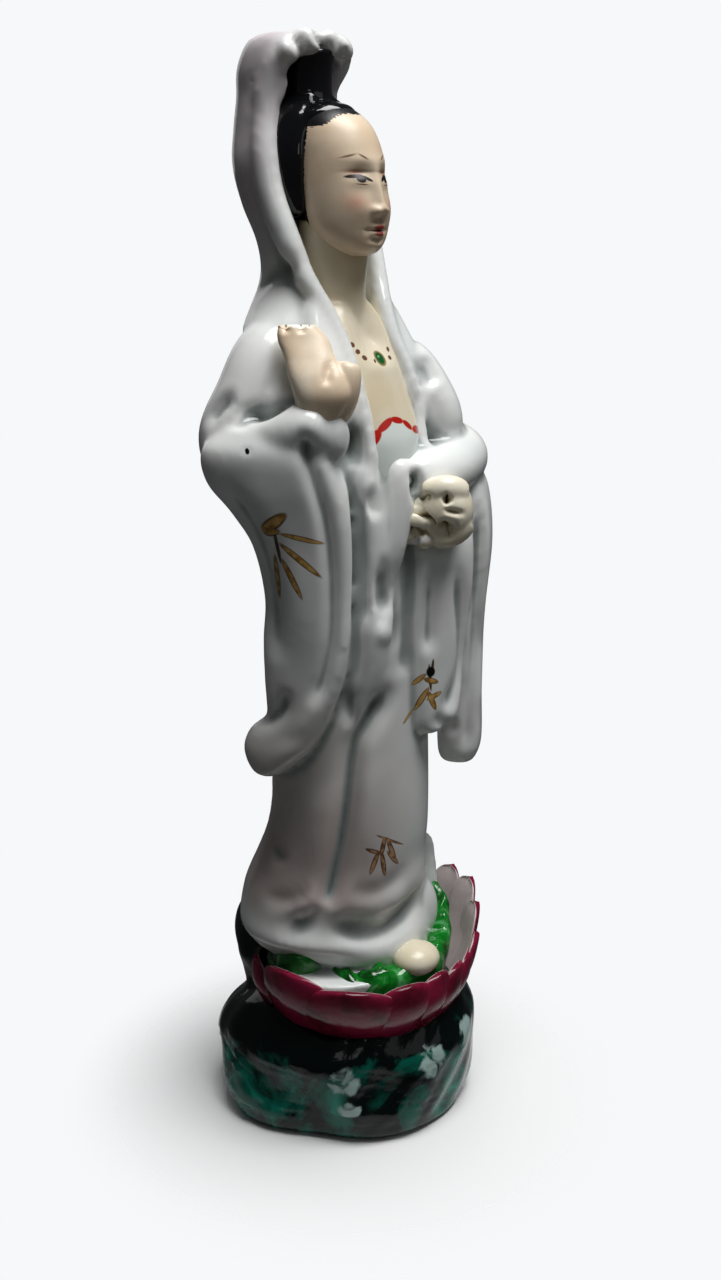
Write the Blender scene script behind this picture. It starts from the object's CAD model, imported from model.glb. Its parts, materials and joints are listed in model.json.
# %% [markdown]
# # A porcelain Guanyin on a lotus
# The real figure was pressed in moulds, joined with wet clay, glazed and fired as one piece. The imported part
# gives its size and place. This script dresses it: soft folds under a glassy glaze, a satin
# biscuit face, glossy black hair, a green leaf, crimson petals and a dark teal rock.

import json
import math

import bpy
import numpy as np
from mathutils import Matrix, Vector
from mathutils.bvhtree import BVHTree

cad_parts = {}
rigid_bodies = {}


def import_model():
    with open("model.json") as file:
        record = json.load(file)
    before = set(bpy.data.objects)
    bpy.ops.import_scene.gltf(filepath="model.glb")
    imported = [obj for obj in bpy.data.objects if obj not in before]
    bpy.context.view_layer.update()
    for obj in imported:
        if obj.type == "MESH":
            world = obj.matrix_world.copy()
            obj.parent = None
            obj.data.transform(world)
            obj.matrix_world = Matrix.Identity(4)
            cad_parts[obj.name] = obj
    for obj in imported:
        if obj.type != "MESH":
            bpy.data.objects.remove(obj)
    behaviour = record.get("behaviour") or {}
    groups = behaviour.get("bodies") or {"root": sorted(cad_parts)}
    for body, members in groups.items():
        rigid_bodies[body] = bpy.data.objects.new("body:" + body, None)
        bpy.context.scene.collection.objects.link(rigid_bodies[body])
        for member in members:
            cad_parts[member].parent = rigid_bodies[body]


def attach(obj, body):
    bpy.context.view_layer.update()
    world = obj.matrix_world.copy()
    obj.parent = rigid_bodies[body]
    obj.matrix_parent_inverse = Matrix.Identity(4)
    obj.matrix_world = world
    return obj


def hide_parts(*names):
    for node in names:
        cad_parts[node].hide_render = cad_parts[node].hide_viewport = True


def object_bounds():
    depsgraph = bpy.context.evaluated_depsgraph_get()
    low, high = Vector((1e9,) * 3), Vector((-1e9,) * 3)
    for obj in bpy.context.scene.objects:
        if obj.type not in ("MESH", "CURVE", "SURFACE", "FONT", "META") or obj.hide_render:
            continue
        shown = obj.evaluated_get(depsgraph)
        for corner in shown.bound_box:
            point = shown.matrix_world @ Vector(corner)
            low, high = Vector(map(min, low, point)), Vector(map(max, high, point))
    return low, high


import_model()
cad_box = [list(corner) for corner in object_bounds()]
print("CAD box in metres:", cad_box)

# %% [markdown]
# ## Sizes
# The part stands on z = 0. The figure is drawn in units of a 252nd of its own height, measured from the
# leaf that it stands on, so that a taller frame gives a taller figure. The mound and lotus are in millimetres.

# %% Sizes that the pieces share
MM = 0.001
MOUND_WIDTH = 74
MOUND_DEPTH = 71
MOUND_HEIGHT = 34
LOTUS_RADIUS = 30
SEAT = 50  # the height of the leaf
FIGURE_UNITS = 252  # from the leaf to the top of the hood
UNIT = (cad_box[1][2] / MM - SEAT) / FIGURE_UNITS
TURN = 2 * math.pi
print("one figure unit is", round(UNIT, 3), "mm")

# %% [markdown]
# ### Places as they are seen
# The photograph shows the figure from its right front. Where only that view tells where something is, its
# place is given as it is seen: how far right of the axis, how much nearer than it, and how high.

# %% The line of sight
CAMERA_AZIMUTH = math.radians(-48)
TO_CAMERA = Vector((math.sin(CAMERA_AZIMUTH), -math.cos(CAMERA_AZIMUTH), 0))
TO_RIGHT = Vector((math.cos(CAMERA_AZIMUTH), math.sin(CAMERA_AZIMUTH), 0))
DISTANCE, EYE_HEIGHT = 0.390, 0.255  # metres from the axis and above the ground
EYE = TO_CAMERA * DISTANCE + Vector((0, 0, EYE_HEIGHT))


def as_seen(right, near, z):
    """A point as the photograph shows it: so far right of the axis, so much nearer than it, and its height."""
    x, y, _ = TO_RIGHT * right + TO_CAMERA * near
    return [x, y, z]


def seen(rows):
    """as_seen() for each row of [right, near, z, ...]; what follows in a row stays as it is."""
    return [[*as_seen(*row[:3]), *row[3:]] for row in rows]


print("the eye is at", [round(v, 3) for v in EYE])

# %% [markdown]
# ## Curves and bumps
# Every form here is worked out from short tables. One helper draws a smooth curve through the rows of a
# table, and another is the soft bump from which folds, lids and lips are made.

# %% Smooth values between the rows of a table
def keyed(rows, places):
    """Values at places between rows of [place, value, ...]: p + (q - p) e + s (a t (1-t)^2 - b t^2 (1-t)).

    p and q are the rows on either side, t the share of the way, s the span, e = t^2 (3 - 2t), and a and b
    are the slopes at the rows, each taken from its two neighbours."""
    rows = np.asarray(rows, float)
    count = len(rows)
    before = rows[np.maximum(np.arange(count) - 1, 0)]
    after = rows[np.minimum(np.arange(count) + 1, count - 1)]
    slopes = (after[:, 1:] - before[:, 1:]) / (after[:, :1] - before[:, :1])
    place = np.clip(places, rows[0, 0], rows[-1, 0])
    i = np.clip(np.searchsorted(rows[:, 0], place, side="right") - 1, 0, count - 2)
    span = (rows[i + 1, 0] - rows[i, 0])[..., None]
    t = (place - rows[i, 0])[..., None] / span
    ease = t * t * (3 - 2 * t)
    p, q = rows[i, 1:], rows[i + 1, 1:]
    return p + (q - p) * ease + span * t * (1 - t) * (slopes[i] * (1 - t) - slopes[i + 1] * t)


def in_order(points):
    """Rows for keyed() from a list of points: their places are 0, 1, 2 and so on."""
    return [[i, *point] for i, point in enumerate(points)]


def curve_through(points, count):
    """A smooth line of count points through the given ones: keyed() over their order."""
    return keyed(in_order(points), np.linspace(0, len(points) - 1, count))


def bump(distance, width):
    """exp(-(distance / width)^2): 1 at the middle and soft towards its edge."""
    return np.exp(-((distance / width) ** 2))


def smoothstep(low, high, value):
    """0 below low, 1 above high, and t^2 (3 - 2t) between them."""
    t = np.clip((value - low) / (high - low), 0, 1)
    return t * t * (3 - 2 * t)


def towards(angle, way, width):
    """A bump round the axis, bump(sin((angle - way) / 2), width): 1 in the direction way, in radians."""
    return bump(np.sin((angle - way) / 2), width)


print("at its own width a bump keeps", round(float(bump(1, 1)), 2), "of its height")

# %% [markdown]
# ## From a grid of points to a closed skin
# A form is a grid: rows of points up it, and columns round it. Quads join the rows, and a fan closes each
# end on its middle point. A form is kept as three arrays, so that several can be joined before Blender
# sees them.

# %% Closed skins from grids
def facing_out(points, quads, fans):
    """Turns the faces round if the skin's volume, the sum of a . (b x c) / 6, comes out below 0."""
    triangles = np.concatenate([quads[:, :3], quads[:, [0, 2, 3]], fans])
    a, b, c = (points[triangles[:, k]] for k in range(3))
    if np.einsum("ij,ij->", a, np.cross(b, c)) < 0:
        quads, fans = quads[:, ::-1], fans[:, ::-1]
    return points, quads, fans


def tube(grid):
    """A closed skin over a grid of shape (rows, columns, 3)."""
    rows, columns, _ = grid.shape
    index = np.arange(rows * columns).reshape(rows, columns)
    beside = np.roll(index, -1, axis=1)
    quads = np.stack([index[:-1], beside[:-1], beside[1:], index[1:]], axis=-1).reshape(-1, 4)
    foot = np.full(columns, rows * columns)
    fans = np.concatenate([
        np.stack([beside[0], index[0], foot], axis=-1),
        np.stack([index[-1], beside[-1], foot + 1], axis=-1),
    ])
    points = np.concatenate([grid.reshape(-1, 3), grid[:1].mean(1), grid[-1:].mean(1)])
    return facing_out(points, quads, fans)


def joined(forms):
    """Several forms as one: their arrays one after the other, with the point numbers moved on."""
    moved = np.cumsum([0] + [len(points) for points, _, _ in forms])
    return (
        np.concatenate([points for points, _, _ in forms]),
        np.concatenate([quads + n for (_, quads, _), n in zip(forms, moved)]),
        np.concatenate([fans + n for (_, _, fans), n in zip(forms, moved)]),
    )


box = tube(np.array([[[1, 1, z], [-1, 1, z], [-1, -1, z], [1, -1, z]] for z in (0, 1)], float))
print("a box made by tube() has", len(box[1]), "quads and", len(box[2]), "triangles")

# %% [markdown]
# ### Four kinds of form
# Nearly everything on the figure is one of four shapes that a modeller would roll or press from clay: a stack
# of ovals for a body, a flat drape for hanging cloth, a round-ended limb, and a plain lump.

# %% Stacks and drapes
def stack(rows, slices=120, levels=140, relief=None):
    """Ellipses up the Z axis from rows of [z, centre x, centre y, half width, half depth]:
    x = cx + (a + r) cos(angle), y = cy + (b + r) sin(angle), with r = relief(angle, z)."""
    z = np.linspace(rows[0][0], rows[-1][0], levels)[:, None]
    cx, cy, a, b = np.moveaxis(keyed(rows, z[:, 0]), 1, 0)[..., None]
    angle = np.linspace(0, TURN, slices, endpoint=False)[None, :]
    out = relief(angle, z) if relief else 0
    x = cx + (a + out) * np.cos(angle)
    y = cy + (b + out) * np.sin(angle)
    return tube(np.stack([x, y, z + 0 * x], axis=-1))


def drape(rows, slices=72, levels=110, squareness=0.75):
    """A hanging fold from rows of [z, front x, front y, back x, back y, half thickness]: each level is a
    flat oval, c = |cos|^q along the line from front to back and s = |sin|^q across it."""
    z = keyed([[0, rows[0][0]], [1, rows[-1][0]]], 0.5 - 0.5 * np.cos(np.linspace(0, np.pi, levels)))
    fx, fy, bx, by, w = np.moveaxis(keyed(rows, z[:, 0]), 1, 0)[..., None]
    angle = np.linspace(0, TURN, slices, endpoint=False)[None, :]
    half = np.hypot(bx - fx, by - fy) / 2
    along_x, along_y = (bx - fx) / (2 * half), (by - fy) / (2 * half)
    c = np.sign(np.cos(angle)) * np.abs(np.cos(angle)) ** squareness * half
    s = np.sign(np.sin(angle)) * np.abs(np.sin(angle)) ** squareness * w
    x = (fx + bx) / 2 + along_x * c - along_y * s
    y = (fy + by) / 2 + along_y * c + along_x * s
    return tube(np.stack([x, y, z + 0 * x], axis=-1))


# %% [markdown]
# A limb and a lump close by themselves, so they suit arms, fingers and rolled edges of cloth.

# %% Limbs and lumps
# The directions in which a limb's half width can be measured.
DEPTHWAYS, SIDEWAYS, ACROSS_THE_VIEW = (0, 1, 0), (1, 0, 0), (0.669, -0.743, 0)
NEAR_END = 0.002  # how far from its ends, as a share, a limb starts and stops


def limb(points, slices=32, levels=40, across=None):
    """A round-ended limb along points of [x, y, z, half width, half height]: the section is an ellipse
    across the path, times sqrt(1 - |2v - 1|^3), so that both ends close."""
    v = np.linspace(NEAR_END, 1 - NEAR_END, levels)
    place = (0.5 - 0.5 * np.cos(np.pi * v)) * (len(points) - 1)
    x, y, z, a, b = keyed(in_order(points), place).T
    path = np.stack([x, y, z], axis=-1)
    way = np.gradient(path, axis=0)
    way /= np.linalg.norm(way, axis=1, keepdims=True)
    level = np.broadcast_to(across, way.shape) if across else np.cross([0, 0, 1], way)
    level = level - (level * way).sum(1, keepdims=True) * way
    level /= np.linalg.norm(level, axis=1, keepdims=True)
    up = np.cross(way, level)
    full = np.sqrt(1 - np.abs(2 * v - 1) ** 3)
    angle = np.linspace(0, TURN, slices, endpoint=False)[None, :, None]
    return tube(path[:, None] + (level * (a * full)[:, None])[:, None] * np.cos(angle)
                + (up * (b * full)[:, None])[:, None] * np.sin(angle))


def lump(middle, halves, slices=40, levels=28):
    """An ellipsoid: middle + halves * (sin v cos u, sin v sin u, cos v)."""
    v = np.linspace(0.01, np.pi - 0.01, levels)[:, None]
    u = np.linspace(0, TURN, slices, endpoint=False)[None, :]
    unit_ball = np.stack([np.sin(v) * np.cos(u), np.sin(v) * np.sin(u), np.cos(v) + 0 * u], axis=-1)
    return tube(np.asarray(middle, float) + np.asarray(halves, float) * unit_ball)


print("a lump has", len(lump([0, 0, 0], [1, 1, 1])[0]), "points")

# %% [markdown]
# ### Into Blender and out of it
# The arrays go into a mesh in one step and come back in one. Blender works in metres, these arrays in
# millimetres, and the figure's own tables in figure units above the leaf.

# %% Blender meshes from forms
def to_mm(points):
    """Figure units above the leaf to millimetres above the ground: point * UNIT + (0, 0, SEAT)."""
    return points * UNIT + [0, 0, SEAT]


def to_units(points):
    """The way back from millimetres to figure units: (point - (0, 0, SEAT)) / UNIT."""
    return (points - [0, 0, SEAT]) / UNIT


def on_the_seat(*forms):
    """Forms in figure units, joined and in millimetres above the ground."""
    points, quads, fans = joined(forms)
    return to_mm(points), quads, fans


def mesh_object(name, form):
    """A Blender object from a form in millimetres."""
    points, quads, fans = form
    mesh = bpy.data.meshes.new(name)
    mesh.from_pydata((points * MM).tolist(), [], quads.tolist() + fans.tolist())
    mesh.shade_smooth()
    obj = bpy.data.objects.new(name, mesh)
    bpy.context.scene.collection.objects.link(obj)
    return obj


def points_of(obj, what="co"):
    """The points of a mesh, or their normals, as an array; points are in millimetres."""
    values = np.empty(len(obj.data.vertices) * 3, np.float32)
    obj.data.vertices.foreach_get(what, values)
    return values.reshape(-1, 3).astype(float) / (MM if what == "co" else 1)


def set_points(obj, points):
    """Puts points in millimetres back into the mesh."""
    obj.data.vertices.foreach_set("co", (points * MM).astype(np.float32).ravel())
    obj.data.update()


def set_value(obj, name, values):
    """Keeps one number for each point as a named attribute, for the materials to read."""
    attribute = obj.data.attributes.new(name, "FLOAT", "POINT")
    attribute.data.foreach_set("value", values.astype(np.float32))


def apply_modifiers(obj):
    """Replaces the object's mesh by what its modifiers make of it, and takes them off."""
    depsgraph = bpy.context.evaluated_depsgraph_get()
    mesh = bpy.data.meshes.new_from_object(obj.evaluated_get(depsgraph))
    obj.modifiers.clear()
    obj.data = mesh
    mesh.shade_smooth()


# %% [markdown]
# ## One skin under the glaze
# In the mould the sleeves, hood and body are one wall, and the glaze rounds every corner between them.
# So the forms of the robe are joined and wrapped again in one even skin (a voxel remesh), which is then
# relaxed a little. The fold lines are pressed in after that, because remeshing would blur them.

# %% Wrap and relax
TOWARDS_MEAN = 0.5  # the share of the way to its neighbours' mean that a point moves in each round


def edges_of(obj):
    """The two point numbers of each edge."""
    pairs = np.empty(len(obj.data.edges) * 2, np.int64)
    obj.data.edges.foreach_get("vertices", pairs)
    return pairs.reshape(-1, 2)


def relaxed(points, edges, rounds, back=TOWARDS_MEAN):
    """Each round moves a point by TOWARDS_MEAN to the mean of its neighbours, then by back away from it."""
    both = np.concatenate([edges, edges[:, ::-1]])
    count = np.maximum(np.bincount(both[:, 0], minlength=len(points)), 1)
    for _ in range(rounds):
        for share in ([TOWARDS_MEAN, -back] if back else [TOWARDS_MEAN]):
            mean = np.stack([
                np.bincount(both[:, 0], points[both[:, 1], k], minlength=len(points)) / count
                for k in range(3)], axis=-1)
            points = points + share * (mean - points)
    return points


def wrap(obj, voxel_mm, rounds, back=TOWARDS_MEAN):
    """Lays one even skin of quads over everything in the mesh, and relaxes it."""
    skin = obj.modifiers.new("one skin", "REMESH")
    skin.mode = "VOXEL"
    skin.voxel_size = voxel_mm * MM
    apply_modifiers(obj)
    set_points(obj, relaxed(points_of(obj), edges_of(obj), rounds, back))


def hollows(obj, rounds):
    """How deep each point lies below its surroundings, in millimetres: (blurred - point) . normal."""
    points = points_of(obj)
    blurred = relaxed(points, edges_of(obj), rounds, back=0)
    return ((blurred - points) * points_of(obj, "normal")).sum(1)


spike = relaxed(np.array([[0, 0, 0], [0, 0, 1], [0, 0, 0]], float), np.array([[0, 1], [1, 2]]), 1)
print("one round leaves", spike[1, 2], "of a spike")

# %% [markdown]
# ### Fold lines
# A modeller draws a fold into wet clay with a rounded tool. Here a line is laid on the skin along the line of
# sight, so that it shows where the photograph has it, and the skin is moved along its normals: in for a crease
# and out for a ridge.

# %% Lay a line on the skin
ON_SKIN = 10  # millimetres between a line as drawn and the skin that it belongs to


def laid_on(obj):
    """A function that moves points of a line along the line of sight until they lie on the skin.

    A point whose line of sight meets the skin further away than ON_SKIN is on the far side, and stays."""
    skin = BVHTree.FromObject(obj, bpy.context.evaluated_depsgraph_get())

    def lay(path):
        laid = path.copy()
        for k, point in enumerate(path):
            target = Vector(to_mm(point)) * MM
            hit = skin.ray_cast(EYE, (target - EYE).normalized())[0]
            if hit and (hit - target).length < ON_SKIN * MM:
                laid[k] = to_units(np.array(hit) / MM)
        return laid
    return lay


print("lines are laid on a skin within", ON_SKIN, "mm")

# %% Press lines into the skin
LINE_ROUNDS = 4  # how often a laid line is smoothed, which takes the steps out of it
FADE_WIDTHS, FADE_SHARE = 4, 0.4  # how long the ends of a line fade: in widths, and at most as its share
SAME_WALL, OTHER_WALL, PUSHED_OFF = 3, 7, 9  # off along the normal: the skin itself, another wall, what it adds


def pressed(points, normals, folds, lay=None):
    """Moves points along their normals by height * bump(distance to the fold, width) * fade. Where folds
    cross, the deepest crease and the highest ridge count, so that a crossing isn't a pit.

    A fold is a row of (width, height, [points...]) in the same units as the points. The distance is measured
    along the surface: what is left of it once its part along the normal is taken off, and PUSHED_OFF more where
    that part is as long as OTHER_WALL. fade goes from 0 at each end of the line to 1 a little way along it."""
    deepest, highest = np.zeros(len(points)), np.zeros(len(points))
    for width, height, line in folds:
        length = np.linalg.norm(np.diff(np.asarray(line, float), axis=0), axis=1).sum()
        path = curve_through(line, int(2 * length / width) + 2 * len(line))
        path = lay(path) if lay else path
        for _ in range(LINE_ROUNDS):
            path[1:-1] = (path[:-2] + 2 * path[1:-1] + path[2:]) / 4
        reach = 2.2 * width + 2  # further off, bump() is less than a hundredth
        near = np.all((points > path.min(0) - reach) & (points < path.max(0) + reach), axis=1)
        apart = points[near][:, None] - path[None]
        deep = np.einsum("mkj,mj->mk", apart, normals[near])
        gaps = np.sqrt(np.maximum((apart ** 2).sum(2) - deep ** 2, 0))
        gaps = gaps + PUSHED_OFF * smoothstep(SAME_WALL, OTHER_WALL, np.abs(deep))
        share = gaps.argmin(1) / (len(path) - 1)
        end = min(FADE_WIDTHS * width, FADE_SHARE * length)
        fade = smoothstep(0, end, np.minimum(share, 1 - share) * length)
        here = height * fade * bump(gaps.min(1), width)
        deepest[near] = np.minimum(deepest[near], here)
        highest[near] = np.maximum(highest[near], here)
    return points + normals * (deepest + highest)[:, None]


def finish_skin(piece, voxel_mm, rounds, folds, rounds_after=0, blur=30):
    """Wraps a piece, presses its lines into the side that is seen, relaxes it a little again, and keeps how
    hollow each point lies, for the glaze."""
    wrap(piece, voxel_mm, rounds)
    local = pressed(to_units(points_of(piece)), points_of(piece, "normal"), folds, laid_on(piece))
    set_points(piece, to_mm(relaxed(local, edges_of(piece), rounds_after, back=0.45)))
    set_value(piece, "hollow", hollows(piece, blur))
    print(piece.name + ":", 2 * len(piece.data.polygons), "triangles,", len(folds), "lines pressed in")


# %% [markdown]
# ## The hood
# The veil is a shell that stands up behind the head and over the topknot. It is made as a solid stack of
# ovals from which two cutters take the front and the room for the head, as a potter would open it.

# %% The hood's rim and its two stacks
RIM = [
    [0, 7.2, 249], [7.4, 8, 248.8], [11.6, 10.8, 245.8], [13.2, 13.4, 239], [14.3, 13.6, 231],
    [16.7, 11.7, 222], [17.1, 9.3, 212], [15.7, 5, 201], [13.9, 0, 191], [11.4, -4.4, 183],
    [10.2, -8.4, 175], [9.8, -12, 167], [9.6, -14.6, 158], [9.5, -16.6, 150], [9.4, -18, 140],
    [9.4, -18.6, 128],
]
DENT_DEPTH = 3.6


def dent_at(z):
    """The hood's left side is pressed in where it passes the topknot: DENT_DEPTH * bump(z - 236, 8)."""
    return DENT_DEPTH * bump(z - 236, 8)


hood_outer = stack([
    [170, 0, 6, 27, 15], [178, 0, 8.8, 25.5, 16.2], [184, 0, 10, 20.6, 16], [189, 0, 10.3, 17, 15.3],
    [194, 0, 10.6, 15.4, 14.8], [201, 0, 11.4, 16.2, 15.2], [210, 0, 13.4, 18.6, 17],
    [220, 0, 15.2, 19.8, 17.9], [230, 0, 17.4, 17.6, 15.8], [237, 0, 19, 15.9, 13.6],
    [243, 0, 18.6, 15.8, 13.9], [248, 0, 17.4, 14.8, 13.2], [250.8, 0, 16.6, 13, 11.8], [252, 0, 16, 10, 9],
], relief=lambda angle, z: -dent_at(z) * towards(angle, -0.44, 0.35))
hood_room = stack([
    [168, 0, -6, 9.5, 14], [176, 0, -6, 9.5, 16], [185, 0, -4, 11, 18], [194, 0, -1, 12, 19],
    [201, 0, 1, 13.4, 20], [212, 0, 4, 15, 21], [222, 0, 6, 15.4, 20], [231, 0, 7, 13.8, 19.5],
    [238, 0, 8, 12.6, 18.6], [245, 0, 7, 12.4, 17.5], [247.6, 0, 4, 11.4, 16],
], 96, 100)
print("the hood's rim runs down over", RIM[0][2] - RIM[-1][2], "figure units")

# %% [markdown]
# The first cutter is a block whose back follows the rim, and the second is the room for the head. An exact
# boolean leaves a clean edge, which the skin over everything then rounds like a glazed one.

# %% The hood, opened by two cutters
OPENING_FRONT, OPENING_SIDE, OPENING_TOP = -60, 45, 262


def in_front_of(line, far, half_width, top):
    """A block from side to side whose back face follows the line of (y, z) and whose front is at y = far."""
    y, z = curve_through(line, 80).T
    y, z = np.append(y[0], y), np.append(top, z)
    corners = [(-half_width, y), (half_width, y), (half_width, far + 0 * y), (-half_width, far + 0 * y)]
    return tube(np.stack([np.stack([x + 0 * z, depth, z], axis=-1) for x, depth in corners], axis=1))


def cut(solid, cutters):
    """The solid with the cutters taken out of it."""
    body = mesh_object("solid", solid)
    for form in cutters:
        cutter = mesh_object("cutter", form)
        knife = body.modifiers.new("knife", "BOOLEAN")
        knife.object = cutter
        knife.operation = "DIFFERENCE"
        knife.solver = "EXACT"
        apply_modifiers(body)
        bpy.data.objects.remove(cutter)
    return body


opening = in_front_of([[y, z] for _, y, z in RIM[:12]], OPENING_FRONT, OPENING_SIDE, OPENING_TOP)
hood = cut(hood_outer, [opening, hood_room])
print("hood:", len(hood.data.polygons), "faces")

# %% [markdown]
# ## The robe
# The robe is a body of ovals, two arms, hanging sleeves and the rolled rims of the hood that run down into
# the lapels. Each is a form of its own here, a little inside its neighbour, and they become one skin.

# %% Body and inner dress
ROBE_ROWS = [
    [-8, 2, 0, 22, 20], [-1, 1, 1.5, 27.5, 24], [3, -0.6, 2.6, 30, 26.2], [9, -1.5, 3.2, 31, 27.4],
    [17, -1.6, 3.2, 29.4, 26.6], [27, -0.6, 2.4, 26.6, 24.2], [37, 0, 0.5, 25.3, 22.8],
    [50, 0, -0.5, 24.6, 22], [75, 0, -0.5, 24, 21.5], [100, 0, -1, 24, 20.5], [125, 0, 0, 24.5, 19.5],
    [140, 0, 1.5, 28, 19.5], [150, 0, 2, 32, 18.7], [160, 0, 3.5, 32.5, 17.6], [168, 0, 6.5, 29, 15.5],
    [174, 0, 9, 25, 13], [180, 0, 10.5, 18, 10], [184, 0, 11, 12, 7],
]


def flared(angle, z):
    """The skirt draws in above the hem at the front, and below it where the leaf curls up on the right:
    -4.6 * bump(z - 13, 6.5) round -1.95 radians, and -5 * smoothstep(9, 3, z) round -2.85."""
    front = -4.6 * bump(z - 13, 6.5) * towards(angle, -1.95, 0.55)
    return front - 5 * smoothstep(9, 3, z) * towards(angle, -2.85, 0.34)


body = stack(ROBE_ROWS, 160, 200, flared)
inner_dress = stack([
    [122, 0, -8, 11, 12.5], [136, 0, -8.4, 11, 12.2], [143, 0, -8, 11.2, 11.9], [147, 0, -7.6, 10.8, 11.6],
    [149, 0, -7.2, 9.6, 10.6],
], 72, 40)
print("body:", len(body[0]), "points")

# %% [markdown]
# The hood's edge is rolled over, as heavy cloth is, and runs down beside the chest. From it the veil lies flat
# out to the shoulder, so one limb is the roll and another fills the groove behind it.

# %% Rims and the front of the veil
def rim(side):
    """The rolled edge of the hood on one side: side is -1 for the figure's right and 1 for its left.

    It follows RIM, 1.4 behind it, and is 2.7 thick, growing by 1.1 from z = 185 to 205. On the left it shares
    the hood's dent, and moves out by 3 from z = 178 down to 160."""
    dents = [dent_at(z) - 3 * smoothstep(178, 160, z) if side > 0 else 0 for _, _, z in RIM]
    broad = [2.7 + 1.1 * smoothstep(185, 205, z) for _, _, z in RIM]
    return limb([[side * (x - d), y + 1.4 + 0.7 * max(d, 0), z, b, 0.95 * b]
                 for (x, y, z), d, b in zip(RIM, dents, broad)], 28, 150, across=(0, 1, 0.3))


def veil_front(side):
    """The veil between the rolled edge and the shoulder, on one side."""
    return limb([[side * x, y, z, a, b] for x, y, z, a, b in [
        [13, 0.6, 188, 2.6, 2.6], [14.3, -3.4, 177, 3.8, 5], [14.8, -7.2, 169, 4, 6],
        [15.5, -10, 160, 4, 6.4], [16, -12, 150, 3.4, 5]]], 28, 60, across=DEPTHWAYS)


veil = [form(side) for form in (rim, veil_front) for side in (-1, 1)]
print("rims and veil:", len(veil), "forms")

# %% [markdown]
# The right arm is bent up to the raised hand. The left one comes forward to the waist, and its upper half is
# fuller than the right one's because the veil lies over it.

# %% Arms
arms = [
    limb([[-12, 8, 179, 8, 7], [-21, 8.4, 172, 9.4, 9], [-26.5, 9, 162, 10, 9.6],
          [-30, 11, 151, 11.4, 10.4], [-30.5, 11, 141, 10, 9]], across=DEPTHWAYS),
    limb([[-31, 10, 151, 9, 8], [-29, -1, 152, 8.6, 8], [-25.5, -10, 155, 8.6, 7.4],
          [-22.5, -14, 156, 7.4, 6]]),
    limb([[12, 8, 180, 8, 7], [20, 6.5, 172, 9.2, 9], [25, 3, 160, 9.6, 9.6], [29, -3.6, 149.5, 10, 10],
          [31.4, -8.6, 140, 9.4, 9]], across=DEPTHWAYS),
    limb([[31, -5, 146.5, 9, 8.6], [32, -12.6, 142, 9.4, 8.6], [17, -17.5, 139.5, 9.6, 8],
          [4, -16, 139, 8.4, 7.4], [-4, -14, 138, 6, 6]]),
    lump([26.5, -11, 142.5], [8, 8, 7.5]),
    limb(seen([[12, -12, 172, 8, 8], [15.5, -12, 166, 9.5, 9.5], [19, -12, 159, 10.4, 10.4],
               [22.5, -12, 151.6, 10.4, 10.4], [24, -10, 144, 9, 9]])),
    limb(seen([[13, 12.6, 145, 6, 4.6], [12.6, 14, 134, 5.6, 4.4], [11.6, 15.4, 124, 4.6, 4],
               [11, 16.6, 115, 3.2, 3.2], [11.6, 17, 108, 2, 2.4]]), across=ACROSS_THE_VIEW),
    lump([-22.5, -15, 153], [5, 4.4, 6.5]),
]
print("arms:", len(arms), "forms")

# %% [markdown]
# The sleeves hang in flat folds to the knee: one on the right, and two on the left, one before the other.

# %% Hanging sleeves
sleeves = [
    drape([
        [59, -28, 1, -29, 6.4, 3.2], [60, -27.8, -1, -29.6, 7.2, 4.2], [62.5, -26.8, -4, -30.2, 8.8, 5.2],
        [67, -25, -8.4, -30.6, 10, 5.8], [72, -23.6, -11.6, -29.6, 8.4, 5.8],
        [76.5, -22.7, -13.6, -28.2, 4, 5.8], [87, -21, -17, -28.4, 3.8, 6], [99, -20, -18.5, -29, 3.8, 6],
        [110, -19.5, -18.5, -28.8, 3.6, 6.5], [124, -19.2, -18.5, -30.6, 6, 7.4],
        [133, -19.5, -18, -34.8, 9.4, 8.2], [141, -20.5, -17, -39, 13.5, 9],
        [149, -22, -14.5, -39.5, 14.5, 9.4], [155, -24, -10, -35, 12, 8],
    ]),
    drape([
        [51, 28, -18, 35.8, -13.6, 4], [52.6, 26, -19, 38.2, -12.4, 5.4], [57, 25, -20.2, 39.8, -11.4, 6.4],
        [70, 24, -21, 39.8, -10.8, 6.5], [90, 23.8, -20.8, 38.8, -10.4, 6.7],
        [104, 24, -21.5, 40.4, -10.8, 7], [119, 24, -21.8, 42, -10, 7.8],
        [133, 21.5, -19.5, 42.4, -8, 8.4], [141, 20.5, -15.6, 40.4, -5.4, 8.2],
    ]),
    drape([
        [67, 7, -21.5, 14, -22.5, 3.4], [69, 4.5, -21, 18, -23, 4.6], [75, 3, -20.5, 21, -22.5, 5.2],
        [100, 2.5, -20, 25, -21.5, 5.8], [120, 3, -19, 28, -20, 7], [136, 2, -17, 30, -16, 7],
    ]),
]
print("sleeves:", len(sleeves), "forms")

# %% [markdown]
# The veil's end hangs beside the skirt on the left. The hem stands in a low bowl of white clay, which shows at
# the right front, where the leaf leaves it bare. The sash is two long ends with a knot between them.

# %% Hem, bowl and sash
def bare_clay(angle, z):
    """The white bowl shows beside the leaf at the right front: 5.4 * a bump round -2.8 radians."""
    return 5.4 * towards(angle, -2.8, 0.26)


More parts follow.
